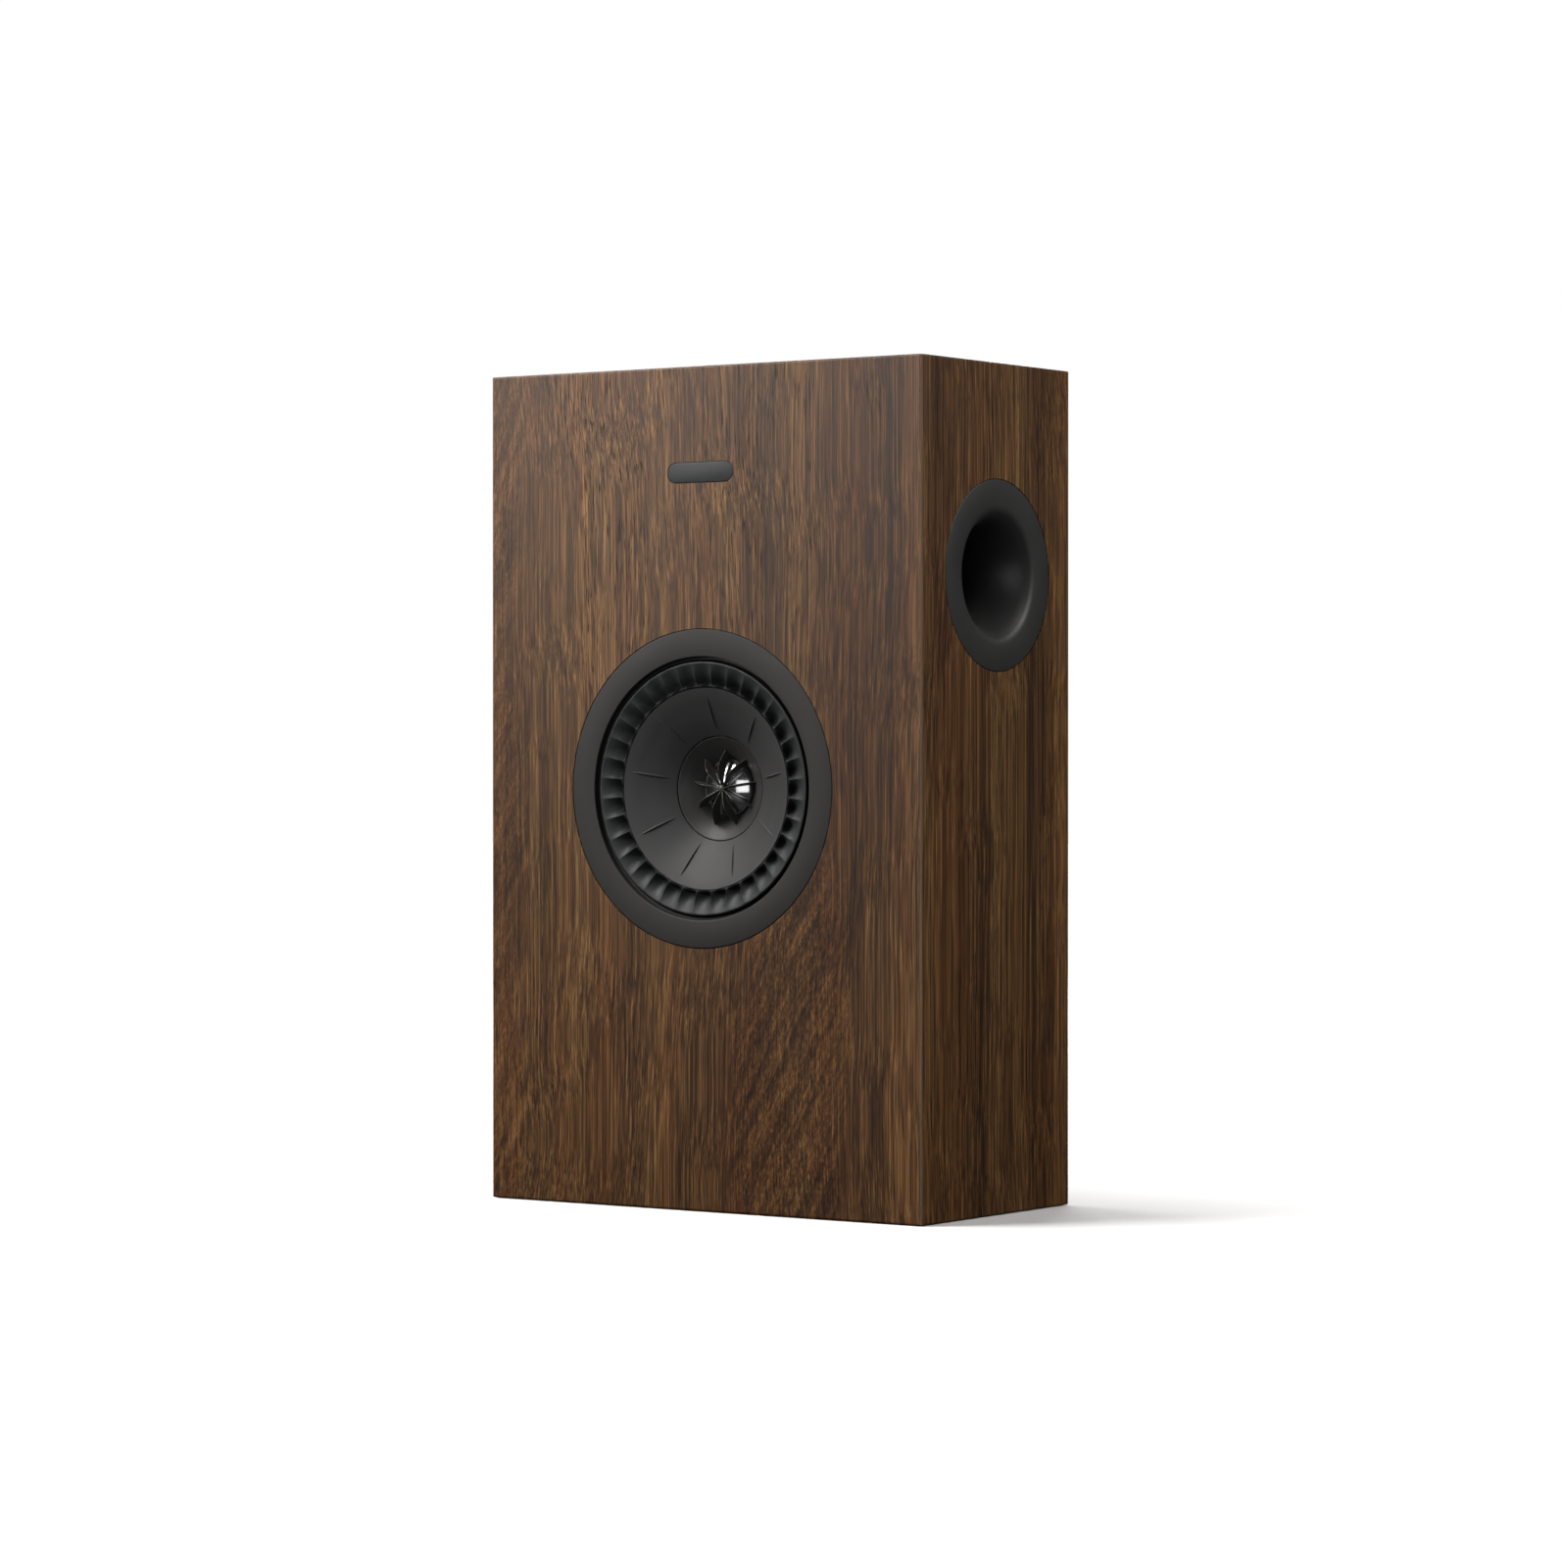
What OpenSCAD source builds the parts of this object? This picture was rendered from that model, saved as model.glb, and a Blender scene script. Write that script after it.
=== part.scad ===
// Two-way bookshelf / on-wall loudspeaker with a coaxial driver and a side port.
// Millimetres. +Z up, front face towards -Y, origin under the middle of the
// whole object, on the surface it stands on.

/* [Cabinet] */
// Width of the cabinet
cab_w = 257; // [250:1:270]
// Depth of the cabinet, front face to rear face
cab_d = 132; // [130:1:140]
// Height of the cabinet
cab_h = 410; // [405:1:420]
// Thickness of the fibreboard panels
wall_t = 15; // [14:0.5:16]
// Rounding of the folded outer edges
edge_r = 1.1; // [0.8:0.1:1.5]

/* [Driver] */
// Height of the driver's axis above the base
drv_z = 205; // [200:1:210]
// Outer radius of the trim ring
ring_r = 77.4; // [77:0.1:77.6]
// Inner radius of the trim ring
ring_in_r = 64; // [63.5:0.1:64.5]
// Outer radius of the bass-midrange cone
cone_r = 49; // [48.5:0.1:49.2]
// Number of driver fixing screws
drv_screws = 6; // [4:1:8]
// Number of windows in the basket
basket_windows = 8; // [6:1:8]
// Number of fins on the phase plug
plug_fins = 9; // [7:1:11]
// Radius of the treble dome
dome_r = 12.5; // [12.3:0.1:12.5]

/* [Port] */
// Height of the port's axis above the base
port_z = 307.7; // [300:0.1:310]
// Distance of the port's axis behind the front face
port_back = 66.7; // [60:0.1:70]
// Outer radius of the port flange
port_flange_r = 46.2; // [45:0.1:47]
// Radius of the port's mouth at the flange
port_mouth_r = 31.5; // [29:0.5:32]
// Radius of the port's straight bore
port_r = 20; // [18:0.5:21]
// Length of the port from flange to inner end
port_len = 118; // [110:1:125]

/* [Terminals] */
// Height of the terminal recess above the base
cup_z = 80; // [76:1:84]
// Distance between the two binding posts
post_gap = 30; // [24:1:36]
// Depth of the terminal recess
cup_depth = 25; // [25:0.5:26]
// Radius of the banana plug bore
banana_r = 2; // [2:0.05:2.1]

/* [Wall fixing] */
// Height of the keyhole plates above the base
key_z = 348; // [340:1:350]
// Distance between the keyhole plates
key_gap = 150; // [120:1:160]

/* [Badge] */
// Length of the plain badge
badge_w = 39; // [30:1:42]
// Height of the plain badge
badge_h = 10; // [8:1:12]
// Height of the badge's centre above the base
badge_z = 358.4; // [350:0.1:365]

/* [Hidden] */
$fn = 96;
eps = 0.01;
yf = -cab_d / 2;                    // front face
yb = yf + cab_d;                    // rear face
hw = cab_w / 2;
xi = hw - wall_t;                   // inner face of a side panel
port_y = yf + port_back;
cup_y = yb - cup_depth;             // floor of the terminal recess
board_z = wall_t + 10;              // underside of the crossover board
board_t = 1.6;
brace_z = [124, 353];               // underside of each brace
housing_d = 2.5;                    // depth the braces are let into the sides

// ---- helpers -------------------------------------------------------------
function arc(cx, cy, r, a0, a1, n) =
    [for (i = [0:n]) [cx + r * cos(a0 + (a1 - a0) * i / n),
                      cy + r * sin(a0 + (a1 - a0) * i / n)]];
// outline of a rectangle with rounded corners, from corner to corner
function rr(x0, y0, x1, y1, r, n = 3) = concat(
    arc(x1 - r, y1 - r, r, 0, 90, n), arc(x0 + r, y1 - r, r, 90, 180, n),
    arc(x0 + r, y0 + r, r, 180, 270, n), arc(x1 - r, y0 + r, r, 270, 360, n));
module along_z(z0, z1, p) translate([0, 0, z0]) linear_extrude(z1 - z0) polygon(p);
// polygon given as [y, z], extruded along x
module along_x(x0, x1, p) translate([x0, 0, 0]) rotate([90, 0, 90]) linear_extrude(x1 - x0) polygon(p);
// polygon given as [x, z], extruded along y
module along_y(y0, y1, p) translate([0, y1, 0]) rotate([90, 0, 0]) linear_extrude(y1 - y0) polygon(p);
// local +z runs into the cabinet from the front face
module at_driver() translate([0, yf, drv_z]) rotate([-90, 0, 0]) children();
// local +z runs into the cabinet from the right side
module at_port() translate([hw, port_y, port_z]) rotate([0, -90, 0]) children();
// local +z runs out of the rear, from depth y
module at_rear(x, y, z) translate([x, y, z]) rotate([-90, 0, 0]) children();
module spin(p, fn = 128) rotate_extrude($fn = fn) polygon(p);
module ring(r0, r1, z0, z1, fn = 96) spin([[r0, z0], [r1, z0], [r1, z1], [r0, z1]], fn);
module round_bar(len, r, h) {       // a slot shape, lying along x
    translate([-len / 2 + r, 0, 0]) cylinder(r = r, h = h);
    translate([len / 2 - r, 0, 0]) cylinder(r = r, h = h);
    translate([-len / 2 + r, -r, 0]) cube([len - 2 * r, 2 * r, h]);
}
// a round wire along smooth points
function cr(a, b, c, d, t) = 0.5 * ((2 * b) + (c - a) * t + (2 * a - 5 * b + 4 * c - d) * t * t
    + (3 * b - a - 3 * c + d) * t * t * t);
function smooth(p, n) = concat([for (i = [0:len(p) - 2]) for (k = [0:n - 1])
    cr(p[max(i - 1, 0)], p[i], p[i + 1], p[min(i + 2, len(p) - 1)], k / n)], [p[len(p) - 1]]);
function unit(v) = v / norm(v);
function tans(p) = [for (i = [0:len(p) - 1]) unit(p[min(i + 1, len(p) - 1)] - p[max(i - 1, 0)])];
function nrm(t, i, n) = i >= len(t) ? [] : let (m = unit(n - (n * t[i]) * t[i])) concat([m], nrm(t, i + 1, m));
module wire(ctrl, r, n = 6, sides = 8) {
    p = smooth(ctrl, n);
    t = tans(p);
    m = nrm(t, 0, [0.31, 0.87, 0.38]);
    pts = [for (i = [0:len(p) - 1]) for (k = [0:sides - 1])
        let (a = 360 * k / sides, b = cross(t[i], m[i])) p[i] + r * (cos(a) * m[i] + sin(a) * b)];
    last = (len(p) - 1) * sides;
    faces = concat([[for (k = [0:sides - 1]) sides - 1 - k]],
        [for (i = [0:len(p) - 2]) for (k = [0:sides - 1])
            let (q = (k + 1) % sides) [i * sides + k, i * sides + q, (i + 1) * sides + q, (i + 1) * sides + k]],
        [[for (k = [0:sides - 1]) last + k]]);
    polyhedron([for (q = pts) q], [for (f = faces) [for (j = [len(f) - 1:-1:0]) f[j]]], convexity = 4);
}

// ---- cabinet: mitred panels with folded, rounded edges -----------------------
module envelope() intersection() {
    along_z(-1, cab_h + 1, rr(-hw, yf, hw, yb, edge_r));
    along_x(-hw - 1, hw + 1, rr(yf, 0, yb, cab_h, edge_r));
    along_y(yf - 1, yb + 1, rr(-hw, 0, hw, cab_h, edge_r));
}
module front_board() intersection() {
    along_z(-1, cab_h + 1, [[-hw, yf], [hw, yf], [hw - wall_t, yf + wall_t], [-hw + wall_t, yf + wall_t]]);
    along_x(-hw - 1, hw + 1, [[yf, 0], [yf + wall_t, wall_t], [yf + wall_t, cab_h - wall_t], [yf, cab_h]]);
    envelope();
}
// s is 1 for the right side and -1 for the left
module side_board(s) intersection() {
    along_z(-1, cab_h + 1, [[s * hw, yf], [s * hw, yb], [s * xi, yb], [s * xi, yf + wall_t]]);
    along_y(yf - 1, yb + 1, [[s * hw, 0], [s * hw, cab_h], [s * xi, cab_h - wall_t], [s * xi, wall_t]]);
    envelope();
}
// z0 is the outer face and z1 the inner one
module end_board(z0, z1) intersection() {
    along_y(yf - 1, yb + 1, [[-hw, z0], [hw, z0], [xi, z1], [-xi, z1]]);
    along_x(-hw - 1, hw + 1, [[yf, z0], [yb, z0], [yb, z1], [yf + wall_t, z1]]);
    envelope();
}
// grooves in the inner face of a side panel that the braces are let into
module housings(s) for (z = brace_z)
    along_y(yf + wall_t, yb - wall_t, [[s * (xi - 1), z], [s * (xi + housing_d), z], [s * (xi + housing_d), z + 12], [s * (xi - 1), z + 12]]);
module screw_ring(r, n, a0 = 0) for (i = [0:n - 1]) rotate([0, 0, a0 + i * 360 / n]) translate([r, 0, 0]) children();
magnet_xz = [[-104, 28], [104, 28], [-104, cab_h - 28], [104, cab_h - 28]];

module front_baffle() color([0.36, 0.25, 0.18]) difference() {
    front_board();
    at_driver() translate([0, 0, -1]) cylinder(r = ring_r + 0.35, h = 9);
    at_driver() cylinder(r = 66.5, h = wall_t + 1);
    at_driver() screw_ring(71.6, drv_screws, 30) translate([0, 0, 7]) cylinder(r = 1.7, h = wall_t);
    for (m = magnet_xz) translate([m[0], yf + wall_t + 1, m[1]]) rotate([90, 0, 0]) cylinder(r = 5.1, h = 13);
    translate([0, yf - 1 + 1.8, badge_z]) rotate([90, 0, 0]) round_bar(badge_w + 0.3, (badge_h + 0.3) / 2, 2);
}
module left_side_panel() color([0.34, 0.24, 0.17]) difference() {
    side_board(-1);
    housings(-1);
}
module right_side_panel() color([0.33, 0.23, 0.16]) difference() {
    side_board(1);
    housings(1);
    at_port() translate([0, 0, -1]) cylinder(r = port_flange_r + 0.3, h = 4.2);
    at_port() translate([0, 0, 1]) cylinder(r = port_mouth_r + 3.6, h = wall_t + 2);
}
module top_panel() color([0.35, 0.25, 0.18]) end_board(cab_h, cab_h - wall_t);
module bottom_panel() color([0.33, 0.24, 0.17]) difference() {
    end_board(0, wall_t);
    for (p = board_pins) translate([p[0], p[1], wall_t - 8]) cylinder(r = 1.2, h = 9);
}
cup_screws = [[-46.5, -35.5], [46.5, -35.5], [-46.5, 35.5], [46.5, 35.5]];
key_xs = [-key_gap / 2, key_gap / 2];
module rear_panel() color([0.33, 0.24, 0.17]) difference() {
    intersection() {
        translate([-xi, yb - wall_t, wall_t]) cube([2 * xi, wall_t, cab_h - 2 * wall_t]);
        along_z(0, cab_h, [[-xi, yb - wall_t], [xi, yb - wall_t], [xi, yb - 0.6], [xi - 0.6, yb], [-xi + 0.6, yb], [-xi, yb - 0.6]]);
        along_x(-hw, hw, [[yb - wall_t, wall_t], [yb - 0.6, wall_t], [yb, wall_t + 0.6], [yb, cab_h - wall_t - 0.6],
            [yb - 0.6, cab_h - wall_t], [yb - wall_t, cab_h - wall_t]]);
    }
    along_y(yb - wall_t - 1, yb + 1, rr(-42.5, cup_z - 30.5, 42.5, cup_z + 30.5, 6.3, 8));
    along_y(yb - 2.5, yb + 1, rr(-51.2, cup_z - 40.2, 51.2, cup_z + 40.2, 6.2, 8));
    for (s = cup_screws) at_rear(s[0], yb - 13, cup_z + s[1]) cylinder(r = 1.7, h = 12);
    for (x = key_xs) {
        along_y(yb - 1.5, yb + 1, rr(x - 23.1, key_z - 13.1, x + 23.1, key_z + 13.1, 3.1, 6));
        at_rear(x, yb - 11, key_z - 5) cylinder(r = 6.8, h = 10);
        translate([x - 5.2, yb - 11, key_z - 5]) cube([10.4, 10, 12]);
        for (s = [-1, 1]) at_rear(x + s * 18, yb - 12.5, key_z) {
            cylinder(r = 1.7, h = 12);
            translate([0, 0, 9.5]) cylinder(r = 2.4, h = 2);
        }
    }
}
module brace(z) difference() {
    translate([-xi - housing_d, yf + wall_t, z]) cube([2 * (xi + housing_d), cab_d - 2 * wall_t, 12]);
    along_z(z - 1, z + 13, rr(-88, yf + wall_t + 22, 88, yb - wall_t - 22, 14, 8));
}
module upper_brace() color([0.70, 0.60, 0.45]) brace(brace_z[1]);
module lower_brace() color([0.70, 0.60, 0.45]) brace(brace_z[0]);
module front_badge() color([0.13, 0.14, 0.14]) translate([0, yf + 0.8, badge_z]) rotate([90, 0, 0])
    round_bar(badge_w, badge_h / 2, 0.8);
module grille_magnets() color("silver") for (m = magnet_xz)
    translate([m[0], yf + 8, m[1]]) rotate([90, 0, 0]) cylinder(r = 5, h = 4.5);
module pad_block(a, b) translate(a) cube(b - a);
module acoustic_foam() color([0.30, 0.30, 0.32]) {
    pad_block([-xi + 0.5, yf + wall_t + 4, 145], [-xi + 20, yb - wall_t - 4, 335]);
    pad_block([-80, yb - wall_t - 20, 150], [80, yb - wall_t - 0.5, 262]);
    pad_block([-100, yf + wall_t + 4, 372], [100, yb - wall_t - 4, cab_h - wall_t - 0.5]);
}

// ---- port ----------------------------------------------------------------
module port_mouth() color([0.15, 0.16, 0.17]) at_port() spin([
    [port_mouth_r, 0], [port_flange_r - 0.4, 0], [port_flange_r, 0.4], [port_flange_r, 3],
    [port_mouth_r + 3.2, 3], [port_mouth_r + 3.2, 8], [port_r + 7.5, 17], [port_r + 4, 26],
    [port_r + 4, 31.5], [port_r + 2, 31.5], [port_r + 2, 29.5], [port_r, 29.5],
    [port_r + 0.4, 24], [port_r + 1.8, 17], [port_r + 4.2, 10], [port_r + 7.2, 4.6], [port_mouth_r - 1.4, 1.4]]);
module port_tube() color([0.13, 0.13, 0.14]) at_port() spin([
    [port_r, 29.6], [port_r + 1.9, 29.6], [port_r + 1.9, 31.7], [port_r + 2.4, 31.7], [port_r + 2.4, port_len - 22],
    [port_r + 4.4, port_len - 12], [port_r + 8.4, port_len - 4], [port_r + 12, port_len], [port_r + 9, port_len],
    [port_r + 5.6, port_len - 5], [port_r + 2, port_len - 12], [port_r, port_len - 22]]);

// ---- coaxial driver: fixed parts -----------------------------------------
module trim_ring() color([0.24, 0.23, 0.24]) at_driver() spin([
    [ring_in_r, 0.5], [ring_in_r + 0.5, 0], [ring_r - 0.4, 0], [ring_r, 0.4], [ring_r, 3.2], [ring_in_r, 3.2]]);
module driver_basket() color([0.20, 0.20, 0.21]) at_driver() difference() {
    spin([[60.8, 3.2], [76.8, 3.2], [76.8, 7], [66, 7], [66, 12], [49, 31.5], [49, 40], [28.5, 40], [28.5, 37.5],
        [46.5, 37.5], [46.5, 33], [43.2, 33], [43.2, 30.5], [46.5, 30.5], [63, 11.5], [63, 5.2], [60.8, 5.2]]);
    for (i = [0:basket_windows - 1]) rotate([0, 0, i * 360 / basket_windows]) translate([47.5, -13, 14]) cube([20, 26, 14.5]);
    screw_ring(71.6, drv_screws, 30) {
        translate([0, 0, 3]) cylinder(r = 2.3, h = 5);
        translate([0, 0, 3.1]) cylinder(r1 = 4.4, r2 = 2.3, h = 2.1);
    }
}
module driver_gasket() color([0.10, 0.10, 0.10]) at_driver() difference() {
    ring(67.2, 76.5, 7, 8);
    screw_ring(71.6, drv_screws, 30) translate([0, 0, 6]) cylinder(r = 2.3, h = 3);
}
module driver_screws() color([0.25, 0.25, 0.26]) at_driver() screw_ring(71.6, drv_screws, 30) difference() {
    union() {
        translate([0, 0, 3.3]) cylinder(r1 = 4.1, r2 = 1.6, h = 2.5);
        translate([0, 0, 5]) cylinder(r = 1.6, h = 9.6);
    }
    translate([0, 0, 3]) cylinder(r = 1.5, h = 1.8, $fn = 6);
}
module top_plate() color([0.60, 0.60, 0.60]) at_driver() ring(27.5, 42, 40, 46);
module ferrite_magnet() color([0.22, 0.22, 0.22]) at_driver() ring(32, 46, 46, 60);
module yoke() color([0.55, 0.55, 0.56]) at_driver() spin([
    [6, 38], [25.3, 38], [25.3, 60], [44, 60], [44, 64.5], [42.5, 66], [6, 66]]);
module demodulation_ring() color([0.80, 0.80, 0.82]) at_driver() ring(25.4, 31.8, 58.6, 60);
module waveguide() color([0.20, 0.20, 0.21]) at_driver() spin([
    [25.3, 16.4], [25.3, 38], [23, 38], [23, 26.4], [14.7, 26.4], [14.7, 24.8], [16.6, 23], [18.7, 21.2],
    [20.8, 19.5], [23, 17.9], [24.9, 16.55]]);
// one fin in the r-depth plane: front edge, then back along the flare and the dome
fin = [[0.2, 17.8], [3, 16.9], [6, 15.8], [9, 15.1], [11.5, 15.4], [14, 16.8], [16.5, 18.9], [18.7, 21.05],
    [16.6, 22.85], [14.7, 24.6], [14.4, 23.6], [13.6, 22.8], [10, 20.7], [6, 19.3], [3, 18.6], [0.2, 18.3]];
module phase_plug() color([0.10, 0.10, 0.10]) at_driver() {
    translate([0, 0, 17.1]) cylinder(r = 1.9, h = 1.7);
    for (i = [0:plug_fins - 1]) rotate([0, 0, -90 - i * 360 / plug_fins]) rotate([90, 0, 0])
        translate([0, 0, -0.4]) linear_extrude(0.8) polygon(fin);
}
module tweeter_top_plate() color([0.60, 0.60, 0.60]) at_driver() ring(13.1, 22.8, 26.6, 29);
module tweeter_magnet() color([0.70, 0.70, 0.72]) at_driver() ring(15.5, 22.8, 29, 34);
module tweeter_yoke() color([0.58, 0.58, 0.60]) at_driver() spin([
    [5, 25.8], [11.5, 25.8], [11.5, 34], [22.8, 34], [22.8, 36.4], [6.1, 36.4], [6.1, 35], [5, 35]]);
module tweeter_duct() color([0.16, 0.16, 0.16]) at_driver() spin([
    [4.6, 35.1], [6, 35.1], [6, 36.5], [8, 36.5], [8, 37.9], [5.9, 37.9], [5.9, 66.2], [4.6, 66.2]]);
module absorber_disc() color([0.18, 0.18, 0.19]) at_driver() difference() {
    spin([[4.6, 66.3], [33, 66.3], [34, 67.3], [34, 76.5], [33, 77.5], [4.6, 77.5]]);
    for (r = [10, 16, 22, 28]) ring(r, r + 2, 76, 78);
}
module terminal_block() color([0.12, 0.12, 0.12]) at_driver() translate([-15, 49.2, 33.5]) cube([30, 5, 6]);
module connector_tabs() color([0.80, 0.75, 0.60]) {
    for (t = [[-11, 4.8], [-4, 4.8], [4, 2.8], [11, 2.8]])
        at_driver() translate([t[0] - t[1] / 2, 51.2, 39.5]) cube([t[1], 0.8, 7.5]);
    for (s = [-1, 1]) difference() {
        translate([s * post_gap / 2 - 4, cup_y - 3.8, cup_z - 5]) cube([8, 0.8, 19]);
        at_rear(s * post_gap / 2, cup_y - 5, cup_z) cylinder(r = 3.15, h = 3);
    }
}

// ---- coaxial driver: moving parts ----------------------------------------
module cone() color([0.23, 0.23, 0.24]) at_driver() spin([
    [cone_r, 3.9], [46, 5], [43, 6.3], [40, 7.8], [37, 9.3], [34, 10.9], [31, 12.7], [28.5, 14.3], [26, 16], [25.75, 16.3],
    [25.75, 17.5], [26.6, 17.5], [28.9, 15.2], [31.4, 13.5], [34.4, 11.7], [37.4, 10.1], [40.4, 8.6], [43.3, 7.2],
    [46.2, 5.9], [cone_r, 4.8]]);
module coil_former() color([0.45, 0.35, 0.25]) at_driver() ring(25.75, 26.15, 17.5, 50);
module woofer_coil() color([0.72, 0.45, 0.25]) at_driver() ring(26.15, 27, 37, 49);
module surround() color([0.10, 0.11, 0.11]) at_driver() spin([
    [cone_r + 0.35, 4], [50, 3.7], [52, 3.0], [57, 1.8], [61, 0.95], [61.7, 1.3], [62.1, 2.95], [62.9, 2.95], [62.9, 3.2],
    [60.6, 3.2], [60, 4.6], [58, 6.4], [55, 8], [52, 8.5], [50.6, 7.6], [cone_r + 0.35, 4.8]]);
module spider() color([0.75, 0.62, 0.30]) at_driver() spin([
    [26.45, 27.6], [28, 27.6], [30.5, 29.6], [33, 27], [35.5, 29.6], [38, 27], [40.5, 29.6], [43, 29.7], [46.2, 29.7],
    [46.2, 30.4], [42.8, 30.4], [40.2, 30.3], [38, 27.8], [35.5, 30.4], [33, 27.8], [30.5, 30.4], [28, 28.4], [26.45, 28.4]]);
dome_h = 4.2;
dome_R = (dome_r * dome_r + dome_h * dome_h) / (2 * dome_h);
function cap(R, rim, n) = let (a = asin(rim / R)) [for (i = [0:n]) [R * sin(a * i / n), 19.8 + dome_R - R * cos(a * i / n)]];
module tweeter_dome() color([0.75, 0.75, 0.77]) at_driver() spin(concat(
    cap(dome_R, dome_r, 10), [[dome_r, 24.4], [dome_r - 0.4, 24.4]],
    [for (i = [10:-1:0]) cap(dome_R - 0.4, dome_r - 0.4, 10)[i]]));
module tweeter_coil() color([0.70, 0.45, 0.25]) at_driver() ring(dome_r - 0.4, dome_r, 24.4, 31);
module tweeter_surround() color([0.12, 0.12, 0.12]) at_driver() spin([
    [dome_r + 0.1, 24.2], [12.95, 23.7], [13.55, 23.5], [14.15, 23.8], [14.45, 24.5], [14.6, 25.1], [14.6, 26.4], [14.2, 26.5],
    [14.1, 25], [13.7, 24.3], [13.3, 24.1], [dome_r + 0.1, 24.6]], 96);

// ---- crossover -----------------------------------------------------------
board_pins = [[-68, -36], [68, -36], [-68, 22], [68, 22]];
module crossover_board() color([0.10, 0.30, 0.18]) difference() {
    translate([-75, -42, board_z]) cube([150, 70, board_t]);
    for (p = board_pins) translate([p[0], p[1], board_z - 1]) cylinder(r = 1.6, h = 4);
}
module board_standoffs() color([0.85, 0.85, 0.82]) for (p = board_pins) translate([p[0], p[1], 0])
    ring(1.6, 3.4, wall_t, board_z, 32);
module board_screws() color("silver") for (p = board_pins) translate([p[0], p[1], board_z + board_t]) difference() {
    union() {
        cylinder(r = 2.8, h = 2);
        translate([0, 0, -18.5]) cylinder(r = 1.1, h = 19);
    }
    translate([0, 0, 1]) cylinder(r = 1.1, h = 2, $fn = 6);
}
top = board_z + board_t;
module coil_on(x, y, r0, r1, h, rim) translate([x, y, top]) {
    color([0.2, 0.2, 0.2]) spin([[r0 - 1.5, 0], [rim, 0], [rim, 1.5], [r0, 1.5], [r0, h - 1.5], [rim, h - 1.5], [rim, h], [r0 - 1.5, h]], 64);
    color([0.72, 0.40, 0.20]) ring(r0, r1, 1.5, h - 1.5, 64);
}
module crossover_coils() {
    coil_on(-48, -8, 9, 19, 26, 20);
    coil_on(-4, -22, 7, 13.5, 18, 14.5);
    color([0.3, 0.3, 0.3]) translate([-48, -8, top]) cylinder(r = 7.4, h = 30);
}
module crossover_capacitors() color([0.15, 0.2, 0.45]) {
    for (x = [26, 46]) translate([x, 10, top]) spin([[0, 0], [8, 0], [8, 1.5], [7.4, 2.2], [8, 3], [8, 29], [7.2, 30], [0, 30]], 48);
    for (y = [-30, -14]) translate([20, y, top + 7]) rotate([0, 90, 0]) cylinder(r = 7, h = 27);
}
module power_resistors() color([0.92, 0.90, 0.86]) for (y = [6, 18]) translate([-26, y, top + 2]) cube([28, 9, 9]);
module input_leads() color([0.15, 0.15, 0.15]) {
    wire([[post_gap / 2, cup_y - 3.8, cup_z + 10], [post_gap / 2, cup_y - 6, cup_z + 10], [post_gap / 2, cup_y - 8, cup_z + 10], [30, 20, 80],
        [54, 24, 66], [62, 14, 48], [62, 4, 36], [62, 4, 31], [62, 4, top]], 1.2, 4);
    wire([[-post_gap / 2, cup_y - 3.8, cup_z + 10], [-post_gap / 2, cup_y - 6, cup_z + 10], [-post_gap / 2, cup_y - 8, cup_z + 10], [-6, 24, 94], [20, 22, 88],
        [50, 28, 72], [68, 16, 50], [68, 4, 36], [68, 4, 31], [68, 4, top]], 1.2, 4);
}
// tab position, then the place on the board
module driver_leads() color([0.15, 0.15, 0.15])
    for (t = [[-11, -34], [-4, -27], [4, 36], [11, 43]])
        wire([[t[0], yf + 47, drv_z - 51.6], [t[0], yf + 50, drv_z - 51.6], [t[0], yf + 53, drv_z - 51.6], [t[0] * 1.2, yf + 60, drv_z - 62],
            [t[0] * 1.4, yf + 58, 120], [t[0] * 1.2 - 6, yf + 56, 90], [t[1] * 0.9, yf + 44, 66],
            [t[1], yf + 27, 44], [t[1], yf + 27, 34], [t[1], yf + 27, top]], 1, 3);

// ---- terminals -----------------------------------------------------------
module terminal_cup() color([0.13, 0.13, 0.14]) difference() {
    union() {
        along_y(yb - 2.5, yb, rr(-51, cup_z - 40, 51, cup_z + 40, 6, 8));
        along_y(cup_y - 3, yb - 2.4, rr(-42, cup_z - 30, 42, cup_z + 30, 6, 8));
    }
    along_y(cup_y, yb + 1, rr(-40, cup_z - 28, 40, cup_z + 28, 5, 8));
    for (s = [-1, 1]) at_rear(s * post_gap / 2, cup_y - 4, cup_z) cylinder(r = 3.1, h = 6);
    for (s = cup_screws) at_rear(s[0], yb - 3, cup_z + s[1]) {
        cylinder(r = 1.9, h = 4);
        translate([0, 0, 1.2]) cylinder(r1 = 1.9, r2 = 3.7, h = 1.81);
    }
}
module csk_screw() difference() {           // head at z = 0, shank into -z
    union() {
        translate([0, 0, -1.8]) cylinder(r1 = 1.5, r2 = 3.3, h = 1.8);
        translate([0, 0, -11]) cylinder(r = 1.5, h = 9.3);
    }
    translate([0, 0, -1.3]) for (a = [0, 90]) rotate([0, 0, a]) translate([-1.7, -0.4, 0]) cube([3.4, 0.8, 2]);
}
module rear_screws() color([0.20, 0.20, 0.21]) {
    for (s = cup_screws) at_rear(s[0], yb - 0.1, cup_z + s[1]) csk_screw();
    for (x = key_xs) for (s = [-1, 1]) at_rear(x + s * 18, yb - 0.1, key_z) csk_screw();
}
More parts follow.
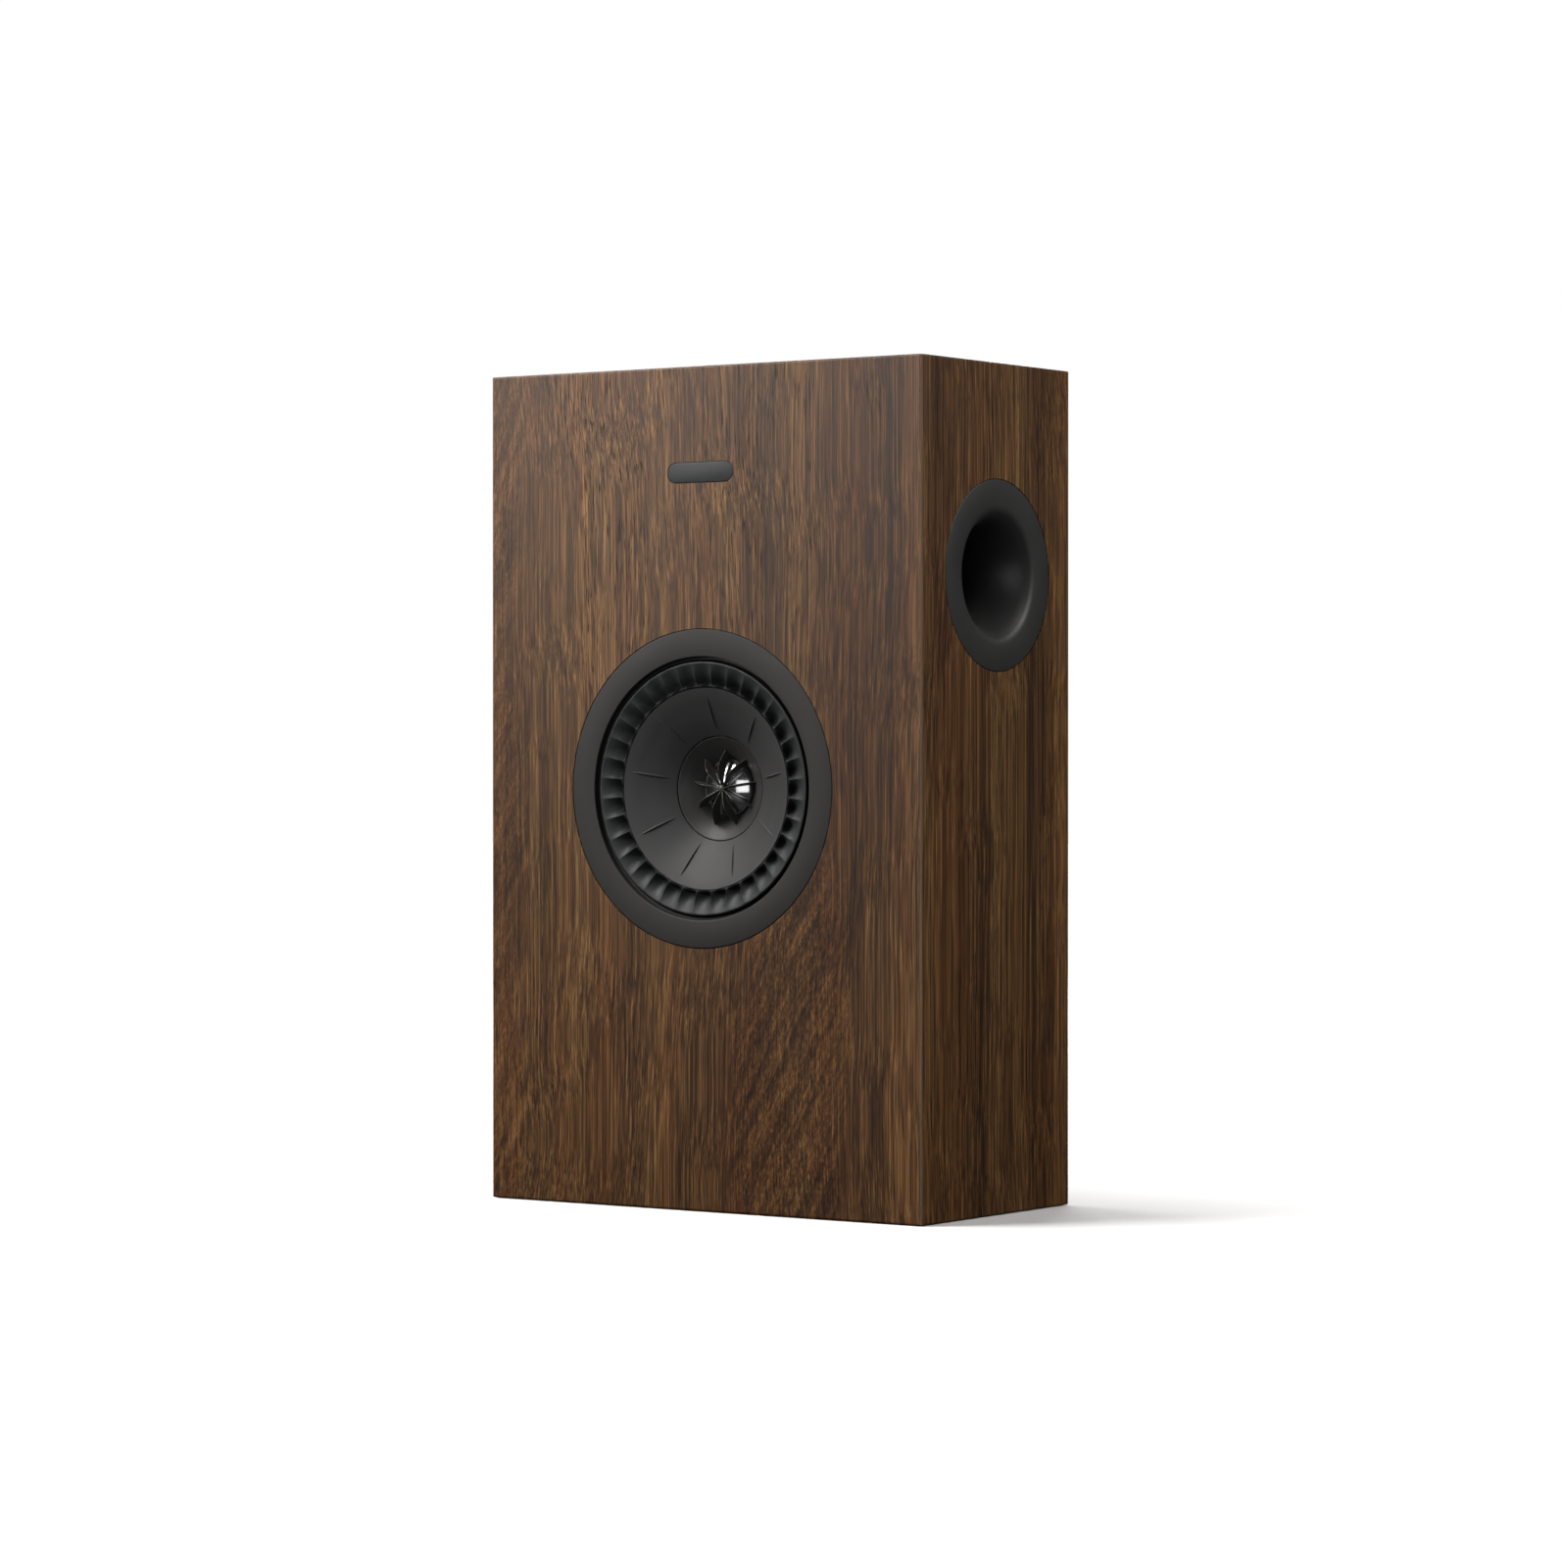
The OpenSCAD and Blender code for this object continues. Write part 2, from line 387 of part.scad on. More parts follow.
module post() difference() {
    spin([[0, -12], [2.9, -12], [2.9, 0], [6.5, 0], [6.5, 1.9], [6.1, 2.3], [3.9, 2.3], [3.9, 19.5], [3.4, 20], [0, 20]], 64);
    translate([0, 0, 7]) cylinder(r = banana_r, h = 14);
    translate([0, 0, 4.2]) rotate([90, 0, 0]) translate([0, 0, -8]) cylinder(r = 1.4, h = 16);
}
module clamp_washer() ring(4.1, 7, 5.9, 7.1, 64);
module knob() difference() {
    spin([[4.1, 7.3], [8.2, 7.3], [9, 8], [9, 18.6], [8.3, 19.4], [6.2, 19.4], [5.4, 18.6], [5.4, 15.5], [4.1, 15.5]], 64);
    for (i = [0:11]) rotate([0, 0, i * 30]) translate([9.6, 0, 8.8]) cylinder(r = 1.2, h = 12, $fn = 16);
}
module polarity_ring() ring(6.6, 9.6, 0, 1.8, 64);
module post_positive() color([0.85, 0.80, 0.65]) at_rear(post_gap / 2, cup_y, cup_z) post();
module post_negative() color([0.85, 0.80, 0.65]) at_rear(-post_gap / 2, cup_y, cup_z) post();
module clamp_washer_positive() color("silver") at_rear(post_gap / 2, cup_y, cup_z) clamp_washer();
module clamp_washer_negative() color("silver") at_rear(-post_gap / 2, cup_y, cup_z) clamp_washer();
module knob_positive() color([0.75, 0.73, 0.70]) at_rear(post_gap / 2, cup_y, cup_z) knob();
module knob_negative() color([0.75, 0.73, 0.70]) at_rear(-post_gap / 2, cup_y, cup_z) knob();
module polarity_ring_positive() color([0.75, 0.08, 0.08]) at_rear(post_gap / 2, cup_y, cup_z) polarity_ring();
module polarity_ring_negative() color([0.06, 0.06, 0.06]) at_rear(-post_gap / 2, cup_y, cup_z) polarity_ring();
module post_nuts() color("silver") for (s = [-1, 1]) at_rear(s * post_gap / 2, cup_y, cup_z) difference() {
    translate([0, 0, -8]) cylinder(r = 6, h = 4.2, $fn = 6);
    translate([0, 0, -9]) cylinder(r = 3, h = 6);
}

// ---- wall fixing ---------------------------------------------------------
module keyhole_plates() color([0.35, 0.35, 0.36]) for (x = key_xs) difference() {
    along_y(yb - 1.5, yb, rr(x - 23, key_z - 13, x + 23, key_z + 13, 3, 6));
    at_rear(x, yb - 2, key_z - 5) cylinder(r = 5, h = 3);
    translate([x - 2.6, yb - 2, key_z - 5]) cube([5.2, 3, 11]);
    at_rear(x, yb - 2, key_z + 6) cylinder(r = 2.6, h = 3);
    for (s = [-1, 1]) at_rear(x + s * 18, yb - 2, key_z) {
        cylinder(r = 1.9, h = 3);
        translate([0, 0, 0.2]) cylinder(r1 = 1.9, r2 = 3.7, h = 1.81);
    }
}

front_baffle();
left_side_panel();
right_side_panel();
top_panel();
bottom_panel();
rear_panel();
upper_brace();
lower_brace();
front_badge();
grille_magnets();
acoustic_foam();
port_mouth();
port_tube();
trim_ring();
driver_basket();
driver_gasket();
driver_screws();
top_plate();
ferrite_magnet();
yoke();
demodulation_ring();
waveguide();
phase_plug();
tweeter_top_plate();
tweeter_magnet();
tweeter_yoke();
tweeter_duct();
absorber_disc();
terminal_block();
connector_tabs();
cone();
coil_former();
woofer_coil();
surround();
spider();
tweeter_dome();
tweeter_coil();
tweeter_surround();
crossover_board();
board_standoffs();
board_screws();
crossover_coils();
crossover_capacitors();
power_resistors();
input_leads();
driver_leads();
terminal_cup();
rear_screws();
post_positive();
post_negative();
clamp_washer_positive();
clamp_washer_negative();
knob_positive();
knob_negative();
polarity_ring_positive();
polarity_ring_negative();
post_nuts();
keyhole_plates();
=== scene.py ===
import math
import bmesh
import bpy
import numpy as np
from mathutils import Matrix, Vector


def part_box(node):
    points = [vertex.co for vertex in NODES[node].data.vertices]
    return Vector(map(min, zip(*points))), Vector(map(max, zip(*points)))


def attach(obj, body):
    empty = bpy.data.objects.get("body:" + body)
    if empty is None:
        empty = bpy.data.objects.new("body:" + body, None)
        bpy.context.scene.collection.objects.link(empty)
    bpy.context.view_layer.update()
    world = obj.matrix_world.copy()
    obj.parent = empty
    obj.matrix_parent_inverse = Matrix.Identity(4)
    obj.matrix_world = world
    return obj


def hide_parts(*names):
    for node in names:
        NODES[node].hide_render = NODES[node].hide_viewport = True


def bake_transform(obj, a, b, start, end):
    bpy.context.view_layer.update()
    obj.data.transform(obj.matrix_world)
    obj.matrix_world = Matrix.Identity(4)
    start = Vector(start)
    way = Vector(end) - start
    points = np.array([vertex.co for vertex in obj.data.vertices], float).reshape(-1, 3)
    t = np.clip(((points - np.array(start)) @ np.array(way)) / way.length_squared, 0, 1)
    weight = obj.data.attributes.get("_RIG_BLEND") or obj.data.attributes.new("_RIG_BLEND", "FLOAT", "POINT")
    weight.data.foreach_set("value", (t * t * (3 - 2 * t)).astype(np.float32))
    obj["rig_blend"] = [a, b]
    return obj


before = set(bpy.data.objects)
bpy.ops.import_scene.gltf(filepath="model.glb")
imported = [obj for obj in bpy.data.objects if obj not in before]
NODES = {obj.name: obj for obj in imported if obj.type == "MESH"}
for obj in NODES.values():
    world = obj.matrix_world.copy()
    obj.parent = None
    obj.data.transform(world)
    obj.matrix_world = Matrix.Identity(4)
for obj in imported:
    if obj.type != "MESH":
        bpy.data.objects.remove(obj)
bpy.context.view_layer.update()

# ---- positions, from the frame (metres) ------------------------------------------
YF = float(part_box("front_baffle")[0][1])
YB = float(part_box("rear_panel")[1][1])
HW = float(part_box("right_side_panel")[1][0])
TOP = float(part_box("top_panel")[1][2])
_lo, _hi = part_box("trim_ring")
DRV_Z = (_lo[2] + _hi[2]) / 2
_lo, _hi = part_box("port_mouth")
PORT_Y, PORT_Z = (_lo[1] + _hi[1]) / 2, (_lo[2] + _hi[2]) / 2
MM = 0.001


# ---- material helpers ---------------------------------------------------------------
class Tree:
    def __init__(self, name):
        self.mat = bpy.data.materials.new(name)
        self.mat.use_nodes = True
        self.t = self.mat.node_tree
        self.bsdf = next(n for n in self.t.nodes if n.type == "BSDF_PRINCIPLED")
        self.obj = self.node("ShaderNodeTexCoord").outputs["Object"]

    def node(self, kind, **kw):
        n = self.t.nodes.new(kind)
        for k, v in kw.items():
            setattr(n, k, v)
        return n

    def put(self, socket, value):
        if isinstance(value, bpy.types.NodeSocket):
            self.t.links.new(value, socket)
        else:
            socket.default_value = value

    def set(self, **kw):
        names = {"color": "Base Color", "rough": "Roughness", "metal": "Metallic", "ior": "IOR",
                 "spec": "Specular IOR Level", "coat": "Coat Weight", "coat_rough": "Coat Roughness",
                 "sheen": "Sheen Weight", "sheen_rough": "Sheen Roughness", "normal": "Normal",
                 "aniso": "Anisotropic"}
        for k, v in kw.items():
            self.put(self.bsdf.inputs[names[k]], v)

    def math(self, op, a, b=0.0, c=None, clamp=False):
        n = self.node("ShaderNodeMath", operation=op, use_clamp=clamp)
        self.put(n.inputs[0], a)
        self.put(n.inputs[1], b)
        if c is not None:
            self.put(n.inputs[2], c)
        return n.outputs[0]

    def sep(self, v):
        n = self.node("ShaderNodeSeparateXYZ")
        self.put(n.inputs[0], v)
        return n.outputs[0], n.outputs[1], n.outputs[2]

    def comb(self, x, y, z):
        n = self.node("ShaderNodeCombineXYZ")
        for s, v in zip(n.inputs, (x, y, z)):
            self.put(s, v)
        return n.outputs[0]

    def scaled(self, v, s, loc=(0, 0, 0), rot=(0, 0, 0)):
        n = self.node("ShaderNodeMapping")
        self.put(n.inputs["Vector"], v)
        n.inputs["Scale"].default_value = s
        n.inputs["Location"].default_value = loc
        n.inputs["Rotation"].default_value = rot
        return n.outputs[0]

    def noise(self, v, scale=1.0, detail=2.0, rough=0.5, distort=0.0):
        n = self.node("ShaderNodeTexNoise")
        self.put(n.inputs["Vector"], v)
        n.inputs["Scale"].default_value = scale
        n.inputs["Detail"].default_value = detail
        n.inputs["Roughness"].default_value = rough
        n.inputs["Distortion"].default_value = distort
        return n.outputs[0]

    def cells(self, v, scale=1.0, feature="F1"):
        n = self.node("ShaderNodeTexVoronoi", feature=feature)
        self.put(n.inputs["Vector"], v)
        n.inputs["Scale"].default_value = scale
        return n.outputs[0]

    def remap(self, v, a, b, c, d, smooth=False):
        n = self.node("ShaderNodeMapRange", clamp=True)
        if smooth:
            n.interpolation_type = "SMOOTHSTEP"
        self.put(n.inputs[0], v)
        for s, x in zip(list(n.inputs)[1:5], (a, b, c, d)):
            s.default_value = x
        return n.outputs[0]

    def ramp(self, v, stops):
        n = self.node("ShaderNodeValToRGB")
        self.put(n.inputs[0], v)
        e = n.color_ramp.elements
        while len(e) < len(stops):
            e.new(0.5)
        for el, (p, c) in zip(e, stops):
            el.position = p
            el.color = (*c, 1.0)
        return n.outputs[0]

    def mix(self, fac, a, b, mode="MIX"):
        n = self.node("ShaderNodeMix", data_type="RGBA", blend_type=mode)
        self.put(n.inputs[0], fac)
        self.put(n.inputs[6], a if isinstance(a, bpy.types.NodeSocket) else (*a, 1.0))
        self.put(n.inputs[7], b if isinstance(b, bpy.types.NodeSocket) else (*b, 1.0))
        return n.outputs[2]

    def bump(self, height, distance, strength=1.0, normal=None):
        n = self.node("ShaderNodeBump")
        n.inputs["Strength"].default_value = strength
        n.inputs["Distance"].default_value = distance
        self.put(n.inputs["Height"], height)
        if normal is not None:
            self.put(n.inputs["Normal"], normal)
        return n.outputs[0]


def shade(c, k):
    return tuple(max(0.0, min(1.0, x * k)) for x in c)


def walnut(name, across=False):
    """Walnut veneer. The grain runs up the panel, or from side to side with across."""
    m = Tree(name)
    x, y, z = m.sep(m.obj)
    gx, gy, gz = (z, y, x) if across else (x, y, z)
    g = m.comb(gx, gy, gz)
    # slow wander of the grain lines across the sheet
    wander = m.math("SUBTRACT", m.noise(m.scaled(g, (7, 7, 4.5)), detail=2.0), 0.5)
    lean = m.math("SUBTRACT", m.noise(m.scaled(g, (16, 16, 11), loc=(3, 1, 7)), detail=1.0), 0.5)
    shift = m.math("ADD", m.math("MULTIPLY", wander, 0.022), m.math("MULTIPLY", lean, 0.0045))
    px, py = m.math("ADD", gx, shift), m.math("ADD", gy, shift)
    p = m.comb(px, py, gz)
    # a figured zone low on the right of the front, with leaning, broken grain
    fx = m.math("DIVIDE", m.math("SUBTRACT", px, 0.055), 0.036)
    fz = m.math("DIVIDE", m.math("SUBTRACT", gz, 0.075), 0.155)
    d2 = m.math("ADD", m.math("MULTIPLY", fx, fx), m.math("MULTIPLY", fz, fz))
    ragged = m.math("ADD", d2, m.math("MULTIPLY", m.math("SUBTRACT", m.noise(m.scaled(g, (60, 60, 14)), detail=3.0), 0.5), 1.6))
    figure = m.remap(ragged, 0.35, 1.25, 1.0, 0.0, smooth=True)
    margin = m.math("ADD", gx, m.math("MULTIPLY", m.math("SUBTRACT", m.noise(m.scaled(g, (9, 9, 9), loc=(2, 2, 9)), detail=2.0), 0.5), 0.05))
    figure = m.math("MAXIMUM", figure, m.remap(margin, -0.122, -0.098, 0.75, 0.0, smooth=True))
    # tones: broad bands, streaks, fibres
    band = m.noise(m.scaled(p, (33, 33, 1.3), loc=(1.7, 4.2, 0.3)), detail=2.0, rough=0.55)
    streak = m.noise(m.scaled(p, (120, 120, 1.1), loc=(0.3, 2.1, 5.0)), detail=3.0, rough=0.6)
    fibre = m.noise(m.scaled(p, (760, 760, 2.4)), detail=3.0, rough=0.85)
    fine = m.noise(m.scaled(p, (1600, 1600, 16)), detail=2.0, rough=0.7)
    q = m.comb(m.math("ADD", px, m.math("MULTIPLY", gz, -0.13)), py, gz)
    broken = m.noise(m.scaled(q, (950, 950, 330)), detail=2.0, rough=0.7)
    q2 = m.comb(m.math("ADD", px, m.math("MULTIPLY", gz, -0.50)), py, m.math("MULTIPLY", gz, 0.2))
    sweep = m.noise(m.scaled(q2, (190, 190, 24)), detail=3.0, rough=0.7)
    tone = m.math("ADD", m.math("MULTIPLY", band, 0.22), m.math("MULTIPLY", streak, 0.14))
    tone = m.math("ADD", tone, m.math("MULTIPLY", fibre, 0.64))
    stops = [(0.39, (0.020, 0.0074, 0.0020)), (0.455, (0.054, 0.0222, 0.0062)), (0.50, (0.086, 0.0382, 0.0112)),
             (0.545, (0.122, 0.0595, 0.0195)), (0.61, (0.190, 0.1040, 0.0400))]
    base = m.ramp(tone, stops)
    crotch = m.ramp(m.math("ADD", m.math("MULTIPLY", broken, 0.42), m.math("ADD", m.math("MULTIPLY", sweep, 0.46), m.math("MULTIPLY", fibre, 0.12))),
                    [(0.40, (0.012, 0.0038, 0.0012)), (0.465, (0.046, 0.0172, 0.0046)), (0.525, (0.094, 0.0395, 0.0112)),
                     (0.60, (0.172, 0.0850, 0.0290))])
    base = m.mix(m.math("MULTIPLY", figure, 0.85), base, crotch)
    hue = m.noise(m.scaled(p, (44, 44, 2.2), loc=(8, 3, 6)), detail=2.0)
    base = m.mix(m.remap(hue, 0.38, 0.62, 0.0, 1.0), m.mix(0.6, base, (0.94, 0.97, 0.94), "MULTIPLY"), m.mix(0.8, base, (1.0, 0.88, 0.80), "MULTIPLY"))
    base = m.mix(0.80, base, m.ramp(fine, [(0.33, (0.12, 0.11, 0.10)), (0.50, (0.50, 0.49, 0.49)), (0.68, (0.92, 0.91, 0.90))]), "OVERLAY")
    # painted shade: the front leaf is darkened toward its right side, above the figured zone
    painted_right_shade = m.math("MULTIPLY", m.remap(x, 0.010, 0.105, 0.0, 1.0, smooth=True), m.remap(z, 0.10, 0.20, 0.0, 1.0, smooth=True))
    painted_right_shade = m.math("MULTIPLY", painted_right_shade, m.remap(y, YF + 0.001, YF + 0.003, 1.0, 0.0))
    base = m.mix(painted_right_shade, base, (0.78, 0.72, 0.68), "MULTIPLY")
    # open pores, gathered in some bands
    pore = m.noise(m.scaled(p, (1700, 1700, 85), loc=(9, 2, 1)), detail=1.0)
    gather = m.remap(m.noise(m.scaled(p, (52, 52, 3.5), loc=(5, 5, 5)), detail=2.0), 0.42, 0.64, 0.0, 1.0, smooth=True)
    pore = m.math("MULTIPLY", m.remap(pore, 0.58, 0.67, 0.0, 1.0), m.math("ADD", m.math("MULTIPLY", gather, 0.75), 0.20))
    base = m.mix(pore, base, (0.012, 0.0062, 0.0035))
    # painted highlight: a lighter stripe along the folded vertical edges of the front stands in for the light they
    # catch
    ax = m.math("ABSOLUTE", x)
    painted_edge_highlight = m.math("MULTIPLY", m.remap(ax, HW - 0.0012, HW - 0.0004, 0.0, 1.0), m.remap(y, YF + 0.0004, YF + 0.0012, 1.0, 0.0))
    base = m.mix(m.math("MULTIPLY", painted_edge_highlight, 0.60), base, (0.30, 0.20, 0.135))
    # below the veneer is fibreboard; round the two holes it is painted black
    depth = m.math("MAXIMUM", m.math("SUBTRACT", ax, HW), m.math("SUBTRACT", YF, y))
    depth = m.math("MAXIMUM", depth, m.math("SUBTRACT", y, YB))
    depth = m.math("MAXIMUM", depth, m.math("MAXIMUM", m.math("MULTIPLY", z, -1.0), m.math("SUBTRACT", z, TOP)))
    under = m.remap(depth, -0.0009, -0.0007, 1.0, 0.0)
    mdf = m.ramp(m.noise(m.scaled(m.obj, (900, 900, 900)), detail=4.0, rough=0.7), [(0.3, (0.23, 0.15, 0.085)), (0.7, (0.42, 0.30, 0.18))])
    dz = m.math("SUBTRACT", z, DRV_Z)
    near_driver = m.math("SQRT", m.math("ADD", m.math("MULTIPLY", x, x), m.math("MULTIPLY", dz, dz)))
    py2, pz2 = m.math("SUBTRACT", y, PORT_Y), m.math("SUBTRACT", z, PORT_Z)
    near_port = m.math("SQRT", m.math("ADD", m.math("MULTIPLY", py2, py2), m.math("MULTIPLY", pz2, pz2)))
    near_port = m.math("ADD", near_port, m.remap(x, HW - 0.017, HW - 0.016, 1.0, 0.0))
    painted = m.math("MAXIMUM", m.remap(near_driver, 0.0782, 0.0786, 1.0, 0.0), m.remap(near_port, 0.0470, 0.0474, 1.0, 0.0))
    mdf = m.mix(painted, mdf, (0.010, 0.0095, 0.009))
    base = m.mix(under, base, mdf)
    rough = m.math("ADD", m.remap(fibre, 0.3, 0.7, 0.40, 0.50), m.math("MULTIPLY", pore, 0.25))
    rough = m.math("ADD", rough, m.math("MULTIPLY", under, 0.35), clamp=True)
    height = m.math("ADD", m.math("MULTIPLY", fibre, 0.6), m.math("MULTIPLY", fine, 0.35))
    height = m.math("SUBTRACT", height, m.math("MULTIPLY", pore, 0.9))
    m.set(color=base, rough=rough, normal=m.bump(height, 0.00009, 0.55), ior=1.45, spec=0.30)
    return m.mat


def moulded(name, col, rough=0.5, grain=0.6, bump=0.00003, var=0.10, spec=0.45, scuff=0.5, metal=0.0, coat=0.0, flow=None):
    """Moulded plastic, powder coat, ceramic or painted metal: fine spark texture, cloudy gloss, light scuffs."""
    m = Tree(name)
    f = 1.0 / (grain * MM)
    fine = m.noise(m.scaled(m.obj, (f, f, f)), detail=2.0, rough=0.6)
    cloud = m.noise(m.scaled(m.obj, (22, 22, 22), loc=(2, 3, 4)), detail=3.0, rough=0.6)
    sc = m.noise(m.scaled(m.obj, flow or (260, 260, 1900), loc=(1, 8, 2)), detail=2.0, rough=0.7)
    marks = m.math("MULTIPLY", m.remap(sc, 0.62, 0.74, 0.0, 1.0), m.remap(cloud, 0.45, 0.65, 0.0, scuff))
    c = m.mix(m.remap(fine, 0.3, 0.7, 0.0, 1.0), shade(col, 1 - var), shade(col, 1 + var))
    c = m.mix(m.remap(cloud, 0.3, 0.7, 0.0, 1.0), c, m.mix(0.5, c, shade(col, 1 + 1.6 * var)))
    c = m.mix(m.math("MULTIPLY", marks, 0.35), c, shade(col, 1.9))
    r = m.math("ADD", m.remap(cloud, 0.3, 0.7, rough - 0.05, rough + 0.05), m.math("MULTIPLY", marks, 0.18), clamp=True)
    m.set(color=c, rough=r, metal=metal, spec=spec, coat=coat, normal=m.bump(fine, bump, 0.7))
    return m.mat


def machined(name, col, rough=0.3, about=None, var=0.08, bump=0.000012, pitch=0.25, tarnish=None):
    """Turned or rolled metal: fine tool marks about an axis, cloudy tarnish, roughness that follows both."""
    m = Tree(name)
    x, y, z = m.sep(m.obj)
    f = 1.0 / (pitch * MM)
    if about == "driver":
        dz = m.math("SUBTRACT", z, DRV_Z)
        r = m.math("SQRT", m.math("ADD", m.math("MULTIPLY", x, x), m.math("MULTIPLY", dz, dz)))
        v = m.comb(m.math("MULTIPLY", r, f), m.math("MULTIPLY", y, f), 0.0)
    else:
        v = m.scaled(m.obj, (f * 0.08, f, f * 0.08))
    line = m.noise(v, detail=2.0, rough=0.65)
    cloud = m.noise(m.scaled(m.obj, (90, 90, 90), loc=(4, 1, 2)), detail=4.0, rough=0.65)
    c = m.mix(m.remap(line, 0.3, 0.7, 0.0, 1.0), shade(col, 1 - var), shade(col, 1 + var))
    c = m.mix(m.remap(cloud, 0.45, 0.75, 0.0, 0.45), c, tarnish or shade(col, 0.72))
    rr = m.math("ADD", m.remap(line, 0.3, 0.7, rough - 0.06, rough + 0.06), m.remap(cloud, 0.45, 0.75, 0.0, 0.15), clamp=True)
    m.set(color=c, rough=rr, metal=1.0, normal=m.bump(line, bump, 0.6))
    return m.mat


def wound(name, col, pitch, about):
    """Enamelled wire, one turn beside the next along the axis."""
    m = Tree(name)
    x, y, z = m.sep(m.obj)
    s = y if about == "driver" else z
    turn = m.math("FRACT", m.math("DIVIDE", s, pitch * MM))
    crown = m.math("SUBTRACT", 1.0, m.math("ABSOLUTE", m.math("SUBTRACT", m.math("MULTIPLY", turn, 2.0), 1.0)))
    crown = m.math("SQRT", crown)
    cloud = m.noise(m.scaled(m.obj, (150, 150, 150)), detail=3.0, rough=0.6)
    # painted shade: the grooves between turns are darkened to a quarter of the wire colour
    c = m.mix(crown, shade(col, 0.25), m.mix(m.remap(cloud, 0.35, 0.65, 0.0, 1.0), shade(col, 0.8), shade(col, 1.15)))
    m.set(color=c, rough=m.remap(cloud, 0.3, 0.7, 0.24, 0.40), metal=0.9, normal=m.bump(crown, pitch * MM * 0.35, 1.0))
    return m.mat


def rubber(name, col, rough=0.6, bump=0.00004, sheen=0.0, spec=0.35, rim=None):
    m = Tree(name)
    fine = m.noise(m.scaled(m.obj, (2600, 2600, 2600)), detail=2.0, rough=0.6)
    dust = m.noise(m.scaled(m.obj, (70, 70, 70), loc=(7, 1, 1)), detail=4.0, rough=0.65)
    c = m.mix(m.remap(fine, 0.3, 0.7, 0.0, 1.0), shade(col, 0.86), shade(col, 1.14))
    c = m.mix(m.remap(dust, 0.45, 0.75, 0.0, 0.35), c, shade(col, 1.7))
    if rim:                                   # painted shade: beyond the rim radius the flange is painted near-black and rougher, standing in for the dark gap at the ring
        x, y, z = m.sep(m.obj)
        dz = m.math("SUBTRACT", z, DRV_Z)
        r = m.math("SQRT", m.math("ADD", m.math("MULTIPLY", x, x), m.math("MULTIPLY", dz, dz)))
        painted_gap_shade = m.remap(r, rim * MM, (rim + 0.25) * MM, 0.0, 1.0)
        # painted shade: the flute troughs are darkened toward the inner edge, and their gloss is lowered there
        turn = m.math("MULTIPLY", m.math("SUBTRACT", m.math("ARCTAN2", dz, x), math.radians(5.0)), 18.0)
        trough = m.math("ABSOLUTE", m.math("SINE", turn))
        inner = m.remap(r, 51.2 * MM, 56.5 * MM, 1.0, 0.0, smooth=True)
        painted_flute_shade = m.math("MULTIPLY", inner, m.math("ADD", m.math("MULTIPLY", trough, 0.55), 0.36), clamp=True)
        c = m.mix(painted_flute_shade, c, (0.004, 0.0042, 0.0043))
        c = m.mix(painted_gap_shade, c, (0.0035, 0.0035, 0.0035))
        rough = m.math("ADD", m.remap(dust, 0.3, 0.7, rough - 0.07, rough + 0.06), m.math("MULTIPLY", painted_gap_shade, 0.4), clamp=True)
        spec = m.math("MULTIPLY", m.math("SUBTRACT", 1.0, m.math("MAXIMUM", painted_flute_shade, m.math("MULTIPLY", painted_gap_shade, 0.9))), spec)
    else:
        rough = m.remap(dust, 0.3, 0.7, rough - 0.07, rough + 0.06)
    m.set(color=c, rough=rough, spec=spec, sheen=sheen, normal=m.bump(fine, bump, 0.8))
    return m.mat


def foam(name, col):
    m = Tree(name)
    cell = m.cells(m.scaled(m.obj, (620, 620, 620)))
    lump = m.noise(m.scaled(m.obj, (45, 45, 45)), detail=3.0, rough=0.6)
    c = m.ramp(cell, [(0.05, shade(col, 0.25)), (0.45, shade(col, 0.9)), (0.9, shade(col, 1.35))])
    c = m.mix(m.remap(lump, 0.35, 0.65, 0.0, 0.5), c, shade(col, 0.75))
    m.set(color=c, rough=0.95, spec=0.2, sheen=0.25, normal=m.bump(cell, 0.0006, 0.9))
    m.bsdf.inputs["Roughness"].default_value = 0.95
    return m.mat


def cloth(name, col, count=0.55):
    """Impregnated woven cloth."""
    m = Tree(name)
    x, y, z = m.sep(m.obj)
    k = 2 * math.pi / (count * MM)
    wx = m.math("SINE", m.math("MULTIPLY", x, k))
    wz = m.math("SINE", m.math("MULTIPLY", z, k))
    weave = m.math("ADD", m.math("MULTIPLY", m.math("MULTIPLY", wx, wz), 0.5), 0.5)
    blotch = m.noise(m.scaled(m.obj, (120, 120, 120)), detail=4.0, rough=0.6)
    c = m.mix(weave, shade(col, 0.45), shade(col, 1.1))
    c = m.mix(m.remap(blotch, 0.4, 0.7, 0.0, 0.5), c, shade(col, 0.6))
    m.set(color=c, rough=m.remap(blotch, 0.3, 0.7, 0.55, 0.8), spec=0.3, sheen=0.15, normal=m.bump(weave, 0.00012, 0.9))
    return m.mat


def laminate(name, col):
    """Solder-masked board with copper tracks below the mask."""
    m = Tree(name)
    x, y, z = m.sep(m.obj)
    wander = m.math("MULTIPLY", m.noise(m.scaled(m.obj, (30, 30, 30)), detail=1.0), 0.05)
    cell = m.cells(m.comb(m.math("MULTIPLY", m.math("ADD", x, wander), 70), m.math("MULTIPLY", y, 70), 0.0), feature="DISTANCE_TO_EDGE")
    track = m.remap(cell, 0.05, 0.07, 1.0, 0.0)
    fine = m.noise(m.scaled(m.obj, (1500, 1500, 1500)), detail=2.0)
    c = m.mix(track, shade(col, 0.8), shade(col, 1.9))
    c = m.mix(m.remap(fine, 0.35, 0.65, 0.0, 0.3), c, shade(col, 0.5))
    m.set(color=c, rough=m.remap(fine, 0.3, 0.7, 0.28, 0.4), spec=0.5, normal=m.bump(track, 0.00004, 0.6))
    return m.mat


